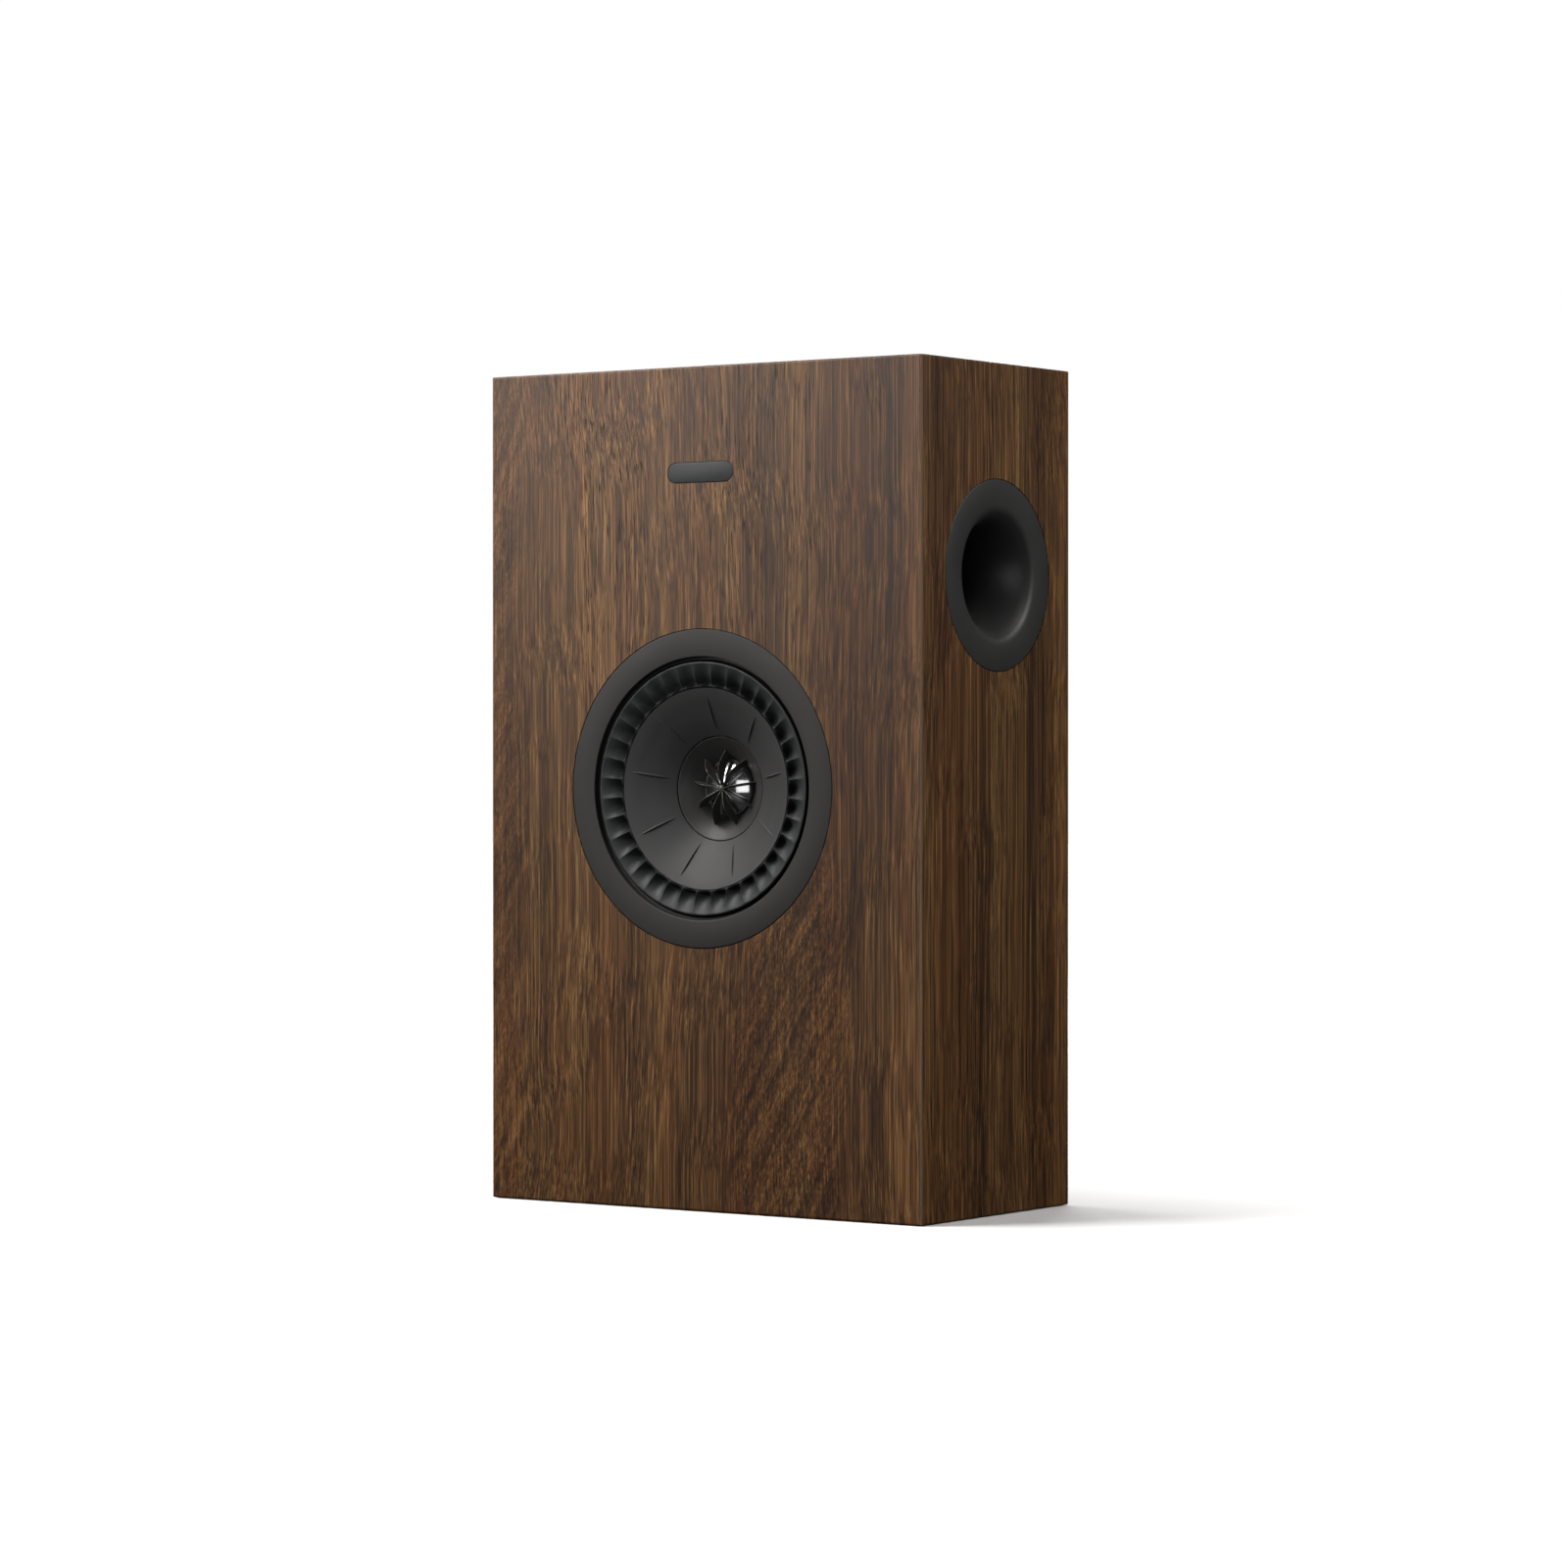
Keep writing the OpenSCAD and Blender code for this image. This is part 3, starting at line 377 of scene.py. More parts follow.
def cone_paint(name):
    """Dark satin anodising on a spun aluminium cone: faint rings from the spinning, cloudy satin gloss."""
    m = Tree(name)
    x, y, z = m.sep(m.obj)
    dz = m.math("SUBTRACT", z, DRV_Z)
    r = m.math("SQRT", m.math("ADD", m.math("MULTIPLY", x, x), m.math("MULTIPLY", dz, dz)))
    rings = m.noise(m.comb(m.math("MULTIPLY", r, 1600), 0.0, 0.0), detail=3.0, rough=0.7)
    fine = m.noise(m.scaled(m.obj, (3200, 3200, 3200)), detail=1.0)
    cloud = m.noise(m.scaled(m.obj, (40, 40, 40)), detail=3.0, rough=0.6)
    c = m.mix(m.remap(rings, 0.3, 0.7, 0.0, 1.0), (0.038, 0.0368, 0.0368), (0.044, 0.0428, 0.0428))
    c = m.mix(m.remap(cloud, 0.35, 0.7, 0.0, 0.5), c, (0.035, 0.0340, 0.0342))
    rough = m.math("ADD", m.remap(cloud, 0.3, 0.7, 0.52, 0.57), m.remap(fine, 0.3, 0.7, -0.02, 0.02))
    m.set(color=c, rough=rough, metal=0.12, spec=0.22, normal=m.bump(m.math("ADD", rings, m.math("MULTIPLY", fine, 0.5)), 0.000006, 0.5))
    return m.mat


# ---- finishes ---------------------------------------------------------------------
WOOD = walnut("walnut_veneer")
WOOD_ACROSS = walnut("walnut_veneer_across", across=True)
FIN = {
    "rear_panel": moulded("black_lacquer", (0.020, 0.020, 0.021), 0.52, 0.35, 0.00004, 0.15),
    "brace": moulded("raw_fibreboard", (0.42, 0.30, 0.18), 0.85, 1.1, 0.00009, 0.22, spec=0.2),
    "front_badge": moulded("badge_satin", (0.014, 0.0155, 0.016), 0.50, 0.30, 0.000012, 0.10, spec=0.3),
    "grille_magnets": machined("nickel_plate", (0.62, 0.61, 0.58), 0.25),
    "port_mouth": moulded("port_satin", (0.021, 0.0205, 0.0205), 0.46, 0.45, 0.000018, 0.10, spec=0.4),
    "port_tube": moulded("port_tube_black", (0.022, 0.0225, 0.023), 0.55, 0.5, 0.00003, 0.12),
    "trim_ring": moulded("ring_satin", (0.0215, 0.0196, 0.0188), 0.52, 0.30, 0.000014, 0.06, spec=0.25, scuff=0.35),
    "driver_basket": moulded("basket_powder", (0.008, 0.008, 0.0082), 0.6, 0.7, 0.00008, 0.2),
    "driver_gasket": rubber("gasket_foam_rubber", (0.014, 0.014, 0.014), 0.85, 0.00012),
    "driver_screws": machined("black_oxide", (0.07, 0.07, 0.072), 0.38),
    "steel": machined("zinc_plate", (0.56, 0.55, 0.50), 0.32, "driver"),
    "ferrite_magnet": moulded("ferrite", (0.045, 0.045, 0.048), 0.7, 1.6, 0.0001, 0.25),
    "neodymium": machined("neodymium_nickel", (0.58, 0.57, 0.56), 0.22, "driver"),
    "demodulation_ring": machined("plain_aluminium", (0.78, 0.78, 0.79), 0.28, "driver"),
    "waveguide": moulded("guide_satin", (0.031, 0.0295, 0.029), 0.44, 0.35, 0.000010, 0.06, spec=0.28, metal=0.15, scuff=0.2),
    "phase_plug": moulded("plug_satin", (0.040, 0.039, 0.036), 0.36, 0.30, 0.000010, 0.10, spec=0.5),
    "tweeter_duct": moulded("duct_moulding", (0.03, 0.03, 0.03), 0.6, 0.5, 0.00003, 0.12),
    "absorber_disc": moulded("absorber_moulding", (0.03, 0.03, 0.032), 0.7, 0.7, 0.00006, 0.2),
    "terminal_block": moulded("block_moulding", (0.02, 0.02, 0.02), 0.55, 0.5, 0.00003, 0.15),
    "connector_tabs": machined("tinned_brass", (0.62, 0.58, 0.46), 0.3),
    "cone": cone_paint("cone_anodised"),
    "coil_former": moulded("amber_film", (0.28, 0.14, 0.05), 0.35, 0.6, 0.00002, 0.15, coat=0.3),
    "coil": wound("voice_coil_wire", (0.72, 0.34, 0.15), 0.28, "driver"),
    "spider": cloth("spider_cloth", (0.46, 0.30, 0.09)),
    "surround": rubber("surround_rubber", (0.0215, 0.0230, 0.0233), 0.55, 0.00002, spec=0.24, rim=61.5),
    "tweeter_surround": rubber("dome_surround", (0.02, 0.02, 0.02), 0.6, 0.00001),
    "tweeter_dome": machined("dome_aluminium", (0.46, 0.46, 0.465), 0.11, "driver", 0.03, 0.000002, 0.18, (0.38, 0.38, 0.39)),
    "crossover_board": laminate("board_laminate", (0.02, 0.075, 0.035)),
    "board_standoffs": moulded("nylon", (0.62, 0.61, 0.56), 0.5, 0.7, 0.00003, 0.08),
    "board_screws": machined("screw_zinc", (0.58, 0.57, 0.52), 0.3),
    "crossover_coils": wound("inductor_wire", (0.62, 0.29, 0.13), 0.9, "up"),
    "crossover_capacitors": moulded("capacitor_film", (0.028, 0.042, 0.17), 0.28, 1.0, 0.00003, 0.12, coat=0.3),
    "power_resistors": moulded("ceramic", (0.74, 0.71, 0.64), 0.75, 0.8, 0.00008, 0.08),
    "leads": rubber("lead_insulation", (0.025, 0.025, 0.026), 0.45, 0.00001),
    "terminal_cup": moulded("cup_textured", (0.024, 0.024, 0.026), 0.50, 0.55, 0.00007, 0.16),
    "rear_screws": machined("rear_screw_black", (0.075, 0.075, 0.078), 0.36),
    "post": machined("gold_flash", (0.86, 0.64, 0.30), 0.22),
    "washer": machined("washer_nickel", (0.66, 0.65, 0.62), 0.24),
    "knob": machined("knob_nickel", (0.60, 0.575, 0.53), 0.27),
    "polarity_ring_positive": moulded("ring_red", (0.46, 0.014, 0.012), 0.30, 0.6, 0.00001, 0.10, coat=0.2),
    "polarity_ring_negative": moulded("ring_black", (0.012, 0.012, 0.012), 0.30, 0.6, 0.00001, 0.15, coat=0.2),
    "keyhole_plates": moulded("black_zinc", (0.055, 0.055, 0.058), 0.38, 0.6, 0.00003, 0.2, metal=0.8),
    "foam": foam("acoustic_foam", (0.085, 0.085, 0.095)),
}
ALIAS = {
    "upper_brace": "brace", "lower_brace": "brace", "top_plate": "steel", "yoke": "steel",
    "tweeter_top_plate": "steel", "tweeter_yoke": "steel", "tweeter_magnet": "neodymium",
    "woofer_coil": "coil", "tweeter_coil": "coil", "input_leads": "leads", "driver_leads": "leads",
    "post_positive": "post", "post_negative": "post", "clamp_washer_positive": "washer",
    "clamp_washer_negative": "washer", "knob_positive": "knob", "knob_negative": "knob",
    "post_nuts": "steel", "acoustic_foam": "foam",
}
for _name, _obj in NODES.items():
    if _name.endswith("_panel") and _name != "rear_panel" or _name == "front_baffle":
        _mat = WOOD_ACROSS if _name in ("top_panel", "bottom_panel") else WOOD
    else:
        _mat = FIN[ALIAS.get(_name, _name)]
    _obj.data.materials.clear()
    _obj.data.materials.append(_mat)


# ---- mesh helpers -------------------------------------------------------------------
def to_driver(r, a, d):
    """Radius and depth in mm, angle in radians from +X towards +Z, in metres in the frame."""
    return (r * MM * math.cos(a), YF + d * MM, DRV_Z + r * MM * math.sin(a))


def to_port(r, a, d):
    return (HW - d * MM, PORT_Y + r * MM * math.cos(a), PORT_Z + r * MM * math.sin(a))


def build(name, verts, faces, mat, body="root", replaces=(), slot=None, angle=40, weld=False):
    me = bpy.data.meshes.new(name)
    me.from_pydata([tuple(v) for v in verts], [], faces)
    bm = bmesh.new()
    bm.from_mesh(me)
    if weld:
        bmesh.ops.remove_doubles(bm, verts=bm.verts, dist=1e-7)
        bmesh.ops.dissolve_degenerate(bm, edges=bm.edges, dist=1e-8)
    bmesh.ops.recalc_face_normals(bm, faces=bm.faces)
    bm.to_mesh(me)
    bm.free()
    me.polygons.foreach_set("use_smooth", [True] * len(me.polygons))
    me.set_sharp_from_angle(angle=math.radians(angle))
    ob = bpy.data.objects.new(name, me)
    bpy.context.scene.collection.objects.link(ob)
    ob.data.materials.append(mat)
    if replaces:
        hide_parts(*replaces)
    if body:
        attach(ob, body)
    return ob


def fine_line(pts, n=6):
    """A smooth line through the points."""
    p = np.array([pts[0]] + list(pts) + [pts[-1]], float)
    out = []
    for i in range(1, len(p) - 2):
        a, b, c, d = p[i - 1], p[i], p[i + 1], p[i + 2]
        for k in range(n):
            t = k / n
            out.append(0.5 * (2 * b + (c - a) * t + (2 * a - 5 * b + 4 * c - d) * t * t + (3 * b - a - 3 * c + d) * t ** 3))
    out.append(p[-2])
    return [tuple(v) for v in out]


def loop_faces(rows, cols):
    """Quads of a surface closed both ways, vertex index = col * rows + row."""
    f = []
    for c in range(cols):
        c2 = (c + 1) % cols
        for r in range(rows):
            r2 = (r + 1) % rows
            f.append((c * rows + r, c * rows + r2, c2 * rows + r2, c2 * rows + r))
    return f


def revolve(name, profile, n, mat, place=to_driver, weld=False, **kw):
    v = [place(r, 2 * math.pi * i / n, d) for i in range(n) for r, d in profile]
    return build(name, v, loop_faces(len(profile), n), mat, weld=weld, **kw)


def corner(r0, d0, rad, a0, a1, n=4):
    """Points of a small rounded corner."""
    return [(r0 + rad * math.cos(math.radians(a0 + (a1 - a0) * i / n)),
             d0 + rad * math.sin(math.radians(a0 + (a1 - a0) * i / n))) for i in range(n + 1)]


# ---- trim ring ----------------------------------------------------------------------
RI, RO = 64.0, 77.4
ring_profile = (corner(RI + 0.5, 0.5, 0.5, 180, 270) + corner(RO - 0.4, 0.4, 0.4, 270, 360) + [(RO, 3.2), (RI, 3.2)])
revolve("trim_ring_finish", ring_profile, 256, FIN["trim_ring"], replaces=["trim_ring"], slot="ring")

# ---- port mouth: flat flange, soft lip, flared throat -----------------------------------
lip = fine_line([(20.0, 29.5), (20.4, 24.0), (21.8, 17.0), (24.2, 10.0), (27.2, 4.6), (30.1, 1.4), (31.9, 0.35), (33.6, 0.0)], 8)
port_profile = (lip + corner(45.8, 0.4, 0.4, 270, 360) + [(46.2, 3.0), (34.7, 3.0), (34.7, 8.0), (27.5, 17.0),
                (24.0, 26.0), (24.0, 31.5), (22.0, 31.5), (22.0, 29.5)])
revolve("port_mouth_finish", port_profile, 192, FIN["port_mouth"], place=to_port, replaces=["port_mouth"], slot="port_plastic")

# ---- cone with nine pressed ribs ---------------------------------------------------------
CONE_F = [(49, 3.9), (46, 5.0), (43, 6.3), (40, 7.8), (37, 9.3), (34, 10.9), (31, 12.7), (28.5, 14.3), (26, 16), (25.75, 16.3)]
CONE_B = [(25.75, 17.5), (26.6, 17.5), (28.9, 15.2), (31.4, 13.5), (34.4, 11.7), (37.4, 10.1), (40.4, 8.6), (43.3, 7.2), (46.2, 5.9), (49, 4.8)]
front = fine_line(CONE_F, 7)
RIB_0, RIB_1 = 28.5, 45.5
rib_at = [math.radians(90 + 40 * k) for k in range(9)]
angles = []
for k in range(9):
    mid = rib_at[k]
    angles += [mid + math.radians(s) for s in np.linspace(-1.6, 1.6, 19)]
    angles += [mid + math.radians(s) for s in np.linspace(1.6, 38.4, 14)[1:-1]]


def rib_rise(r, a):
    u = (r - RIB_0) / (RIB_1 - RIB_0)
    if u <= 0 or u >= 1:
        return 0.0
    s = min(abs((a - b + math.pi) % (2 * math.pi) - math.pi) for b in rib_at) * r
    half = 0.10 + 0.68 * math.sin(math.pi * u) ** 0.8
    return 0.85 * math.sin(math.pi * u) ** 0.6 * max(0.0, 1 - (s / half) ** 2)


rows = front + CONE_B
verts = []
for a in angles:
    for j, (r, d) in enumerate(rows):
        verts.append(to_driver(r, a, d - (rib_rise(r, a) if j < len(front) else 0.0)))
build("cone_finish", verts, loop_faces(len(rows), len(angles)), FIN["cone"], body="woofer_cone", replaces=["cone"], slot="cone_aluminium", angle=50)


# ---- pleated surround --------------------------------------------------------------------
def blend_by_radius(ob, inner, outer, r_in, r_out):
    """Follows inner at r_in and outer at r_out, evenly between them."""
    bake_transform(ob, outer, inner, start=(0, YF, DRV_Z + r_out * MM), end=(0, YF, DRV_Z + r_in * MM))
    att = ob.data.attributes["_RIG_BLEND"]
    co = np.empty(len(ob.data.vertices) * 3)
    ob.data.vertices.foreach_get("co", co)
    co = co.reshape(-1, 3)
    r = np.hypot(co[:, 0], co[:, 2] - DRV_Z) / MM
    w = np.clip((r_out - r) / (r_out - r_in), 0, 1)
    w = w * w * (3 - 2 * w)
    att.data.foreach_set("value", w.astype(np.float32))


RIDGE = [(49.35, 4.05), (50, 3.8), (52, 3.1), (54, 2.55), (56, 2.08), (58, 1.62), (60, 1.2), (61.0, 1.03), (61.45, 1.25), (61.75, 1.7), (62.0, 2.9), (62.2, 3.0), (62.85, 3.03)]
FLUTE = [(49.35, 0), (49.9, 0), (50.4, 1.2), (50.9, 2.6), (51.5, 3.5), (52.3, 3.8), (53.5, 3.55), (55, 2.8), (56.5, 2.0), (58, 1.2), (60, 0.4), (61.0, 0.1), (61.4, 0), (62.85, 0)]
ridge_r, ridge_d = zip(*RIDGE)
flute_r, flute_d = zip(*FLUTE)
rad = np.concatenate([np.linspace(49.35, 52.2, 16), np.linspace(52.7, 60.6, 18), [61.0, 61.25, 61.45, 61.6, 61.75, 61.88, 62.0, 62.2, 62.85]])
cols = 36 * 20
verts = []
for i in range(cols):
    th = 360.0 * i / cols
    wave = abs(math.sin(math.radians(18 * (th - 5.0)))) ** 0.95
    top_side, under = [], []
    for r in rad:
        d = float(np.interp(r, ridge_r, ridge_d)) + float(np.interp(r, flute_r, flute_d)) * wave
        limit = float(np.interp(r, (49.35, 50.6, 52, 55, 58, 60, 60.6, 61.0, 62.9), (4.8, 7.6, 8.5, 8.0, 6.4, 4.6, 3.2, 3.2, 3.2)))
        top_side.append((r, d))
        under.append((r, max(d + 0.14, min(d + 0.6, limit))))
    for r, d in top_side + under[::-1]:
        verts.append(to_driver(r, math.radians(th), d))
ob = build("surround_finish", verts, loop_faces(2 * len(rad), cols), FIN["surround"], body=None, replaces=["surround"], slot="surround_rubber", angle=62)
blend_by_radius(ob, "woofer_cone", "root", 50.0, 61.5)

# ---- spider: rolled corrugations, glued to the former inside and the basket outside --------
mid = fine_line([(26.45, 28.0), (28, 28.0), (30.5, 29.9), (33, 27.5), (35.5, 29.9), (38, 27.5), (40.5, 29.9), (43, 30.05), (46.2, 30.05)], 8)
sp = [(r, d - 0.3) for r, d in mid] + [(r, d + 0.3) for r, d in mid[::-1]]
ob = revolve("spider_finish", sp, 144, FIN["spider"], body=None, replaces=["spider"], slot="spider_cloth", angle=60)
blend_by_radius(ob, "woofer_cone", "root", 27.2, 43.0)

# ---- waveguide ------------------------------------------------------------------------
guide_front = fine_line([(14.7, 24.8), (16.6, 23.0), (18.7, 21.2), (20.8, 19.5), (23.0, 17.9), (24.75, 16.65)], 6)
guide = guide_front + [(25.0, 16.5), (25.2, 16.5), (25.3, 16.62), (25.3, 38), (23, 38), (23, 26.4), (14.7, 26.4)]
revolve("waveguide_finish", guide, 192, FIN["waveguide"], replaces=["waveguide"], slot="guide")

# ---- treble dome and its surround --------------------------------------------------------
DR, DH = 12.5, 4.2
BR = (DR * DR + DH * DH) / (2 * DH)
def cap(R, rim, n):
    a = math.asin(rim / R)
    return [(R * math.sin(a * i / n), 19.8 + BR - R * math.cos(a * i / n)) for i in range(n + 1)]
dome = cap(BR, DR, 26) + [(DR, 24.4), (DR - 0.4, 24.4)] + cap(BR - 0.4, DR - 0.4, 26)[::-1]
revolve("tweeter_dome_finish", dome, 144, FIN["tweeter_dome"], weld=True, body="treble_dome", replaces=["tweeter_dome"], slot="dome_aluminium")
roll = fine_line([(12.6, 24.4), (12.95, 23.85), (13.55, 23.62), (14.0, 23.9), (14.3, 24.6), (14.4, 25.2), (14.4, 26.3)], 5)
nrm = []
for i, (r, d) in enumerate(roll):
    a, b = roll[max(i - 1, 0)], roll[min(i + 1, len(roll) - 1)]
    t = np.array([b[0] - a[0], b[1] - a[1]])
    t /= np.linalg.norm(t)
    nrm.append((t[1], -t[0]))
ts = [(r + 0.12 * n[0], d + 0.12 * n[1]) for (r, d), n in zip(roll, nrm)] + \
     [(r - 0.12 * n[0], d - 0.12 * n[1]) for (r, d), n in list(zip(roll, nrm))[::-1]]
ob = revolve("tweeter_surround_finish", ts, 144, FIN["tweeter_surround"], body=None, replaces=["tweeter_surround"], slot="surround_rubber")
blend_by_radius(ob, "treble_dome", "root", 12.7, 14.2)

# ---- phase plug: hub and nine thin blades --------------------------------------------------
edge_front = fine_line([(0.2, 17.8), (3, 16.9), (6, 15.8), (9, 15.1), (11.5, 15.4), (14, 16.8), (16.5, 18.9), (18.7, 21.05)], 6)
edge_back = fine_line([(16.6, 22.85), (14.7, 24.6)], 4) + fine_line([(14.4, 23.6), (13.6, 22.8), (12.2, 22.2), (10, 21.2), (6, 19.75), (3, 19.15), (0.2, 19.0)], 4)
n_front = len(edge_front)
outline = edge_front + edge_back
verts, faces = [], []


def put_blade(a):
    """A blade with a rounded leading edge, drawn as a stack of outlines across its thickness."""
    c = np.array(outline)
    # the leading edge is thin and rounded: the outer layers start further back than the middle
    stack = [(-0.40, 2.0), (-0.32, 0.9), (-0.24, 0.28), (-0.13, 0.05), (0.0, 0.0), (0.13, 0.05), (0.24, 0.28), (0.32, 0.9), (0.40, 2.0)]
    start = len(verts)
    n = len(c)
    for t, back in stack:
        for i, (r, d) in enumerate(c):
            dd = d + (back * min(1.0, (18.7 - r) / 4 + 0.08) * min(1.0, 0.25 + r / 4) if i < n_front else 0.0)
            x, z = r * math.cos(a) - t * math.sin(a), r * math.sin(a) + t * math.cos(a)
            verts.append((x * MM, YF + dd * MM, DRV_Z + z * MM))
    for s in range(len(stack) - 1):
        for i in range(n):
            j = (i + 1) % n
            faces.append((start + s * n + i, start + s * n + j, start + (s + 1) * n + j, start + (s + 1) * n + i))
    faces.append(tuple(start + i for i in range(n)))
    faces.append(tuple(start + (len(stack) - 1) * n + i for i in reversed(range(n))))


for k in range(9):
    put_blade(math.radians(90 + 40 * k))
base = len(verts)
hub = [(0.0, 16.9), (0.7, 16.95), (1.3, 17.1), (1.75, 17.45), (1.9, 17.9), (1.9, 18.8), (1.6, 19.05), (0.0, 19.1)]
hn = 36
for i in range(hn):
    for r, d in hub:
        verts.append(to_driver(r, 2 * math.pi * i / hn, d))
for i in range(hn):
    i2 = (i + 1) % hn
    for j in range(len(hub) - 1):
        faces.append((base + i * len(hub) + j, base + i * len(hub) + j + 1, base + i2 * len(hub) + j + 1, base + i2 * len(hub) + j))
build("phase_plug_finish", verts, faces, FIN["phase_plug"], replaces=["phase_plug"], slot="plug", angle=35, weld=True)

# ---- badge: a blank pill with a softened edge ------------------------------------------------
blo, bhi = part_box("front_badge")
bx, bz = (blo[0] + bhi[0]) / 2, (blo[2] + bhi[2]) / 2
bw, bh = (bhi[0] - blo[0]) / 2, (bhi[2] - blo[2]) / 2
n = 40
verts = []
for inset, depth in [(0.45, 0.0), (0.22, 0.06), (0.06, 0.22), (0.0, 0.45), (0.0, 0.8)]:
    rr = bh - inset * MM
    for i in range(2 * n):
        half = 0 if i < n else 1
        a = math.radians(-90 + 180 * (i - half * n) / (n - 1) + 180 * half)
        cx = (bw - bh) * (1 if half == 0 else -1)
        verts.append((bx + cx + rr * math.cos(a), blo[1] + depth * MM, bz + rr * math.sin(a)))
faces = []
for s in range(4):
    for i in range(2 * n):
        j = (i + 1) % (2 * n)
        faces.append((s * 2 * n + i, s * 2 * n + j, (s + 1) * 2 * n + j, (s + 1) * 2 * n + i))
faces.append(tuple(range(2 * n)))
faces.append(tuple(reversed(range(8 * n, 10 * n))))
build("front_badge_finish", verts, faces, FIN["front_badge"], replaces=["front_badge"], slot="badge", angle=35)


# ---- acoustic foam: convoluted pads, flat against the boards ------------------------------------
def foam_pad(name, lo, hi, axis, side):
    """A pad between two corners, with rows of soft peaks on the face at that side of the axis."""
    lo, hi = np.array(lo, float), np.array(hi, float)
    u, v = [i for i in range(3) if i != axis]
    nu, nv = [max(8, int((hi[i] - lo[i]) / 0.004)) for i in (u, v)]
    gu, gv = np.linspace(0, 1, nu + 1), np.linspace(0, 1, nv + 1)
    thick = hi[axis] - lo[axis]
    layers = []
    for level in (0.0, 0.5, 1.0):            # wall side, middle, free side
        grid = np.zeros((nu + 1, nv + 1, 3))
        for i, a in enumerate(gu):
            for j, b in enumerate(gv):
                pu, pv = lo[u] + a * (hi[u] - lo[u]), lo[v] + b * (hi[v] - lo[v])
                rim = min(a, 1 - a) * (hi[u] - lo[u]), min(b, 1 - b) * (hi[v] - lo[v])
                near = min(1.0, min(rim) / 0.008)
                # sides draw in a little at mid thickness
                pull = 0.0016 * (1 - near) * (1.0 if level == 0.5 else 0.35 if level else 0.0)
                pu += pull * (1 if a < 0.5 else -1)
                pv += pull * (1 if b < 0.5 else -1)
                h = level
                if level == 1.0:
                    peak = 0.5 + 0.5 * math.sin(2 * math.pi * pu / 0.030) * math.sin(2 * math.pi * pv / 0.030)
                    h = 1.0 - 0.42 * (1 - peak) * near ** 0.5 - 0.16 * (1 - near)
                w = lo[axis] + h * thick if side > 0 else hi[axis] - h * thick
                grid[i, j, u], grid[i, j, v], grid[i, j, axis] = pu, pv, w
        layers.append(grid)
    verts, idx = [], {}
    for L, g in enumerate(layers):
        for i in range(nu + 1):
            for j in range(nv + 1):
                if L == 1 and 0 < i < nu and 0 < j < nv:
                    continue
                idx[L, i, j] = len(verts)
                verts.append(tuple(g[i, j]))
    faces = []
    for L in (0, 2):
        for i in range(nu):
            for j in range(nv):
                faces.append((idx[L, i, j], idx[L, i + 1, j], idx[L, i + 1, j + 1], idx[L, i, j + 1]))
    rim = [(i, 0) for i in range(nu)] + [(nu, j) for j in range(nv)] + [(i, nv) for i in range(nu, 0, -1)] + [(0, j) for j in range(nv, 0, -1)]
    for L in (0, 1):
        for k in range(len(rim)):
            a, b = rim[k], rim[(k + 1) % len(rim)]
            faces.append((idx[L, a[0], a[1]], idx[L, b[0], b[1]], idx[L + 1, b[0], b[1]], idx[L + 1, a[0], a[1]]))
    ob = build(name, verts, faces, FIN["foam"], replaces=["acoustic_foam"], slot="foam", angle=60)
    return ob


WALL = 0.015
XI = HW - WALL
foam_pad("foam_side", (-XI + 0.0005, YF + WALL + 0.004, 0.145), (-XI + 0.020, YB - WALL - 0.004, 0.335), 0, 1)
foam_pad("foam_rear", (-0.080, YB - WALL - 0.020, 0.150), (0.080, YB - WALL - 0.0005, 0.262), 1, -1)
foam_pad("foam_top", (-0.100, YF + WALL + 0.004, 0.372), (0.100, YB - WALL - 0.004, TOP - WALL - 0.0005), 2, -1)

# ---- stage: pale floor, white surround seen by the camera alone -----------------------------------
def stage_mat(name, col, glow, rough, painted_shadow_range=None):
    m = Tree(name)
    cloud = m.noise(m.scaled(m.obj, (1.5, 1.5, 1.5)), detail=2.0)
    m.set(color=m.mix(cloud, shade(col, 0.985), shade(col, 1.0)), rough=rough, spec=0.1)
    m.bsdf.inputs["Emission Color"].default_value = (1, 1, 1, 1)
    m.bsdf.inputs["Emission Strength"].default_value = glow
    if painted_shadow_range:                                  # painted shadow: the sheet glows less near the object
        x, y, z = m.sep(m.obj)
        r = m.math("SQRT", m.math("ADD", m.math("MULTIPLY", x, x), m.math("MULTIPLY", y, y)))
        m.put(m.bsdf.inputs["Emission Strength"], m.remap(r, painted_shadow_range[0], painted_shadow_range[1], painted_shadow_range[2], glow, smooth=True))
    return m.mat


FLOOR_Z = -0.0003
me = bpy.data.meshes.new("floor")
fn = 96
me.from_pydata([(9 * math.cos(2 * math.pi * i / fn), 9 * math.sin(2 * math.pi * i / fn), FLOOR_Z) for i in range(fn)], [], [tuple(range(fn))])
floor = bpy.data.objects.new("floor", me)
bpy.context.scene.collection.objects.link(floor)
floor.data.materials.append(stage_mat("floor_paper", (0.90, 0.90, 0.90), 0.55, 0.9, (0.50, 1.5, 0.0)))
floor.visible_glossy = False
floor.visible_diffuse = False

me = bpy.data.meshes.new("backdrop")
bm = bmesh.new()
bmesh.ops.create_icosphere(bm, subdivisions=4, radius=12.0)
bmesh.ops.reverse_faces(bm, faces=bm.faces)
bm.to_mesh(me)
bm.free()
backdrop = bpy.data.objects.new("backdrop", me)
bpy.context.scene.collection.objects.link(backdrop)
backdrop.data.materials.append(stage_mat("backdrop_white", (0.0, 0.0, 0.0), 1.02, 1.0))
for flag in ("visible_diffuse", "visible_glossy", "visible_transmission", "visible_volume_scatter", "visible_shadow"):
    setattr(backdrop, flag, False)

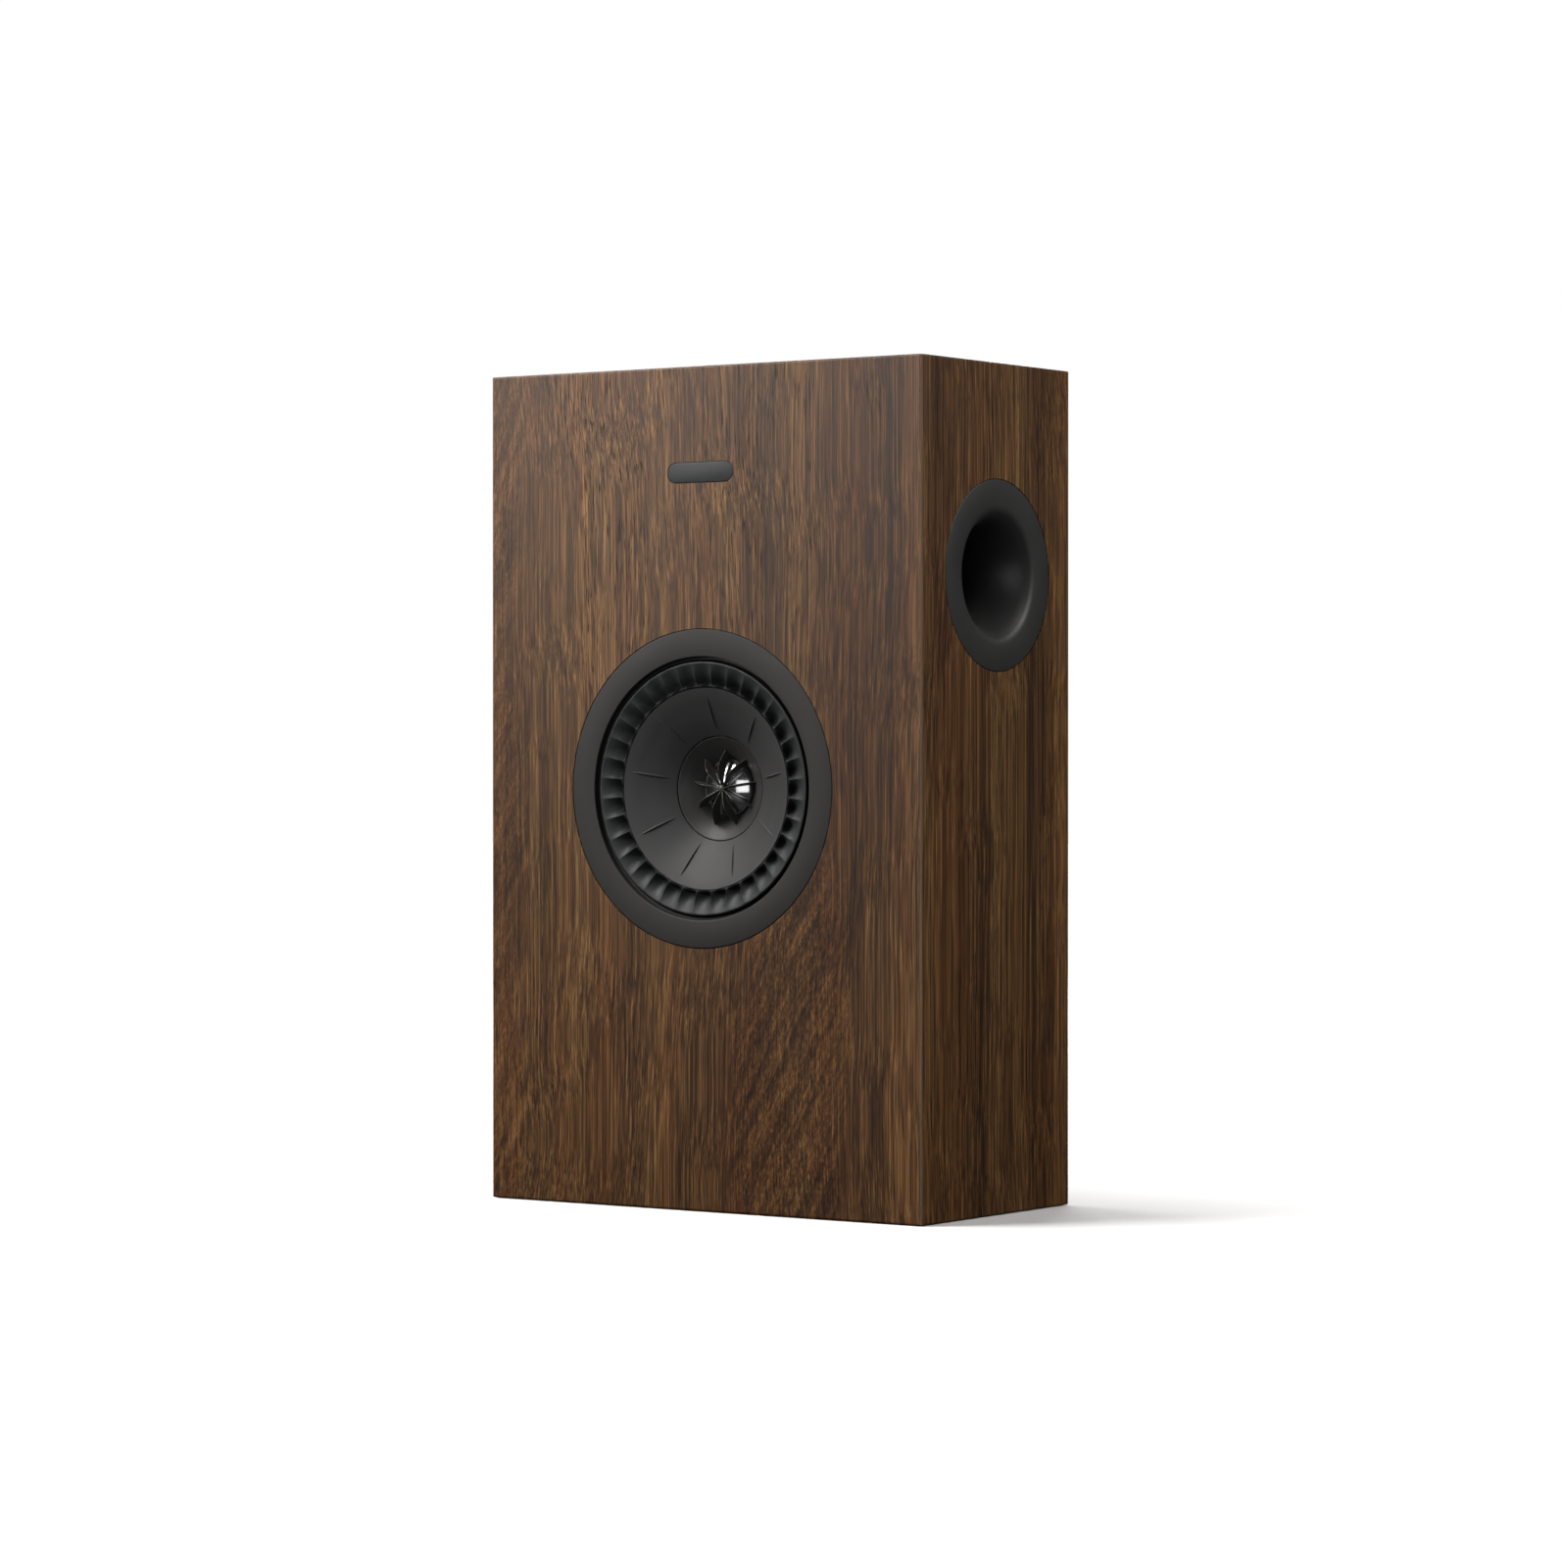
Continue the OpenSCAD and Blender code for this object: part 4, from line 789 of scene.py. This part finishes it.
world = bpy.data.worlds.new("studio")
bpy.context.scene.world = world
world.use_nodes = True
bg = next(n for n in world.node_tree.nodes if n.type == "BACKGROUND")
bg.inputs[0].default_value = (0.98, 0.99, 1.0, 1)
bg.inputs[1].default_value = 0.05


def area(name, loc, aim, size, power, color=(1, 1, 1), size_y=None):
    l = bpy.data.lights.new(name, "AREA")
    l.shape = "RECTANGLE"
    l.size, l.size_y = size, size_y or size
    l.energy = power
    l.color = color
    o = bpy.data.objects.new(name, l)
    o.location = loc
    o.rotation_euler = (Vector(aim) - Vector(loc)).to_track_quat("-Z", "Y").to_euler()
    o.visible_camera = False
    bpy.context.scene.collection.objects.link(o)
    return o


area("key", (-0.42, -0.50, 0.80), (-0.09, YF, 0.26), 0.45, 7.0, (1.0, 0.985, 0.965), 0.40)
area("left", (-0.88, -1.08, 0.62), (-0.06, YF, 0.34), 0.55, 8.0, (1.0, 0.99, 0.975), 0.50)
area("front", (0.74, -2.14, 0.42), (0.0, YF, DRV_Z), 1.40, 11.5, (1.0, 1.0, 1.0), 1.30)
area("right", (1.16, 0.40, 0.95), (HW, 0.02, 0.20), 0.80, 12.0, (1.0, 0.985, 0.96), 0.70)
area("back_fill", (-1.0, 1.7, 1.1), (0.0, YB, 0.2), 1.0, 25.0, (1.0, 1.0, 1.0))

sun = bpy.data.lights.new("overhead", "SUN")
sun.energy = 2.3
sun.angle = math.radians(38)
so = bpy.data.objects.new("overhead", sun)
so.rotation_euler = Vector((0.42, 0.10, -0.90)).to_track_quat("-Z", "Y").to_euler()
bpy.context.scene.collection.objects.link(so)

# ---- camera -----------------------------------------------------------------------------
cam = bpy.data.cameras.new("camera")
cam.sensor_fit = "VERTICAL"
cam.sensor_height = 36.0
cam.sensor_width = 36.0
cam.lens = 110.71
cam.clip_end = 50
co = bpy.data.objects.new("camera", cam)
az, el = math.radians(34.989), math.radians(0.422)
look = Vector((-math.sin(az) * math.cos(el), math.cos(az) * math.cos(el), -math.sin(el)))
co.location = (1.3726, -1.9586, 0.2245)
co.rotation_euler = look.to_track_quat("-Z", "Y").to_euler()
bpy.context.scene.collection.objects.link(co)
bpy.context.scene.camera = co
bpy.context.scene.view_settings.view_transform = "Standard"
bpy.context.scene.view_settings.look = "None"
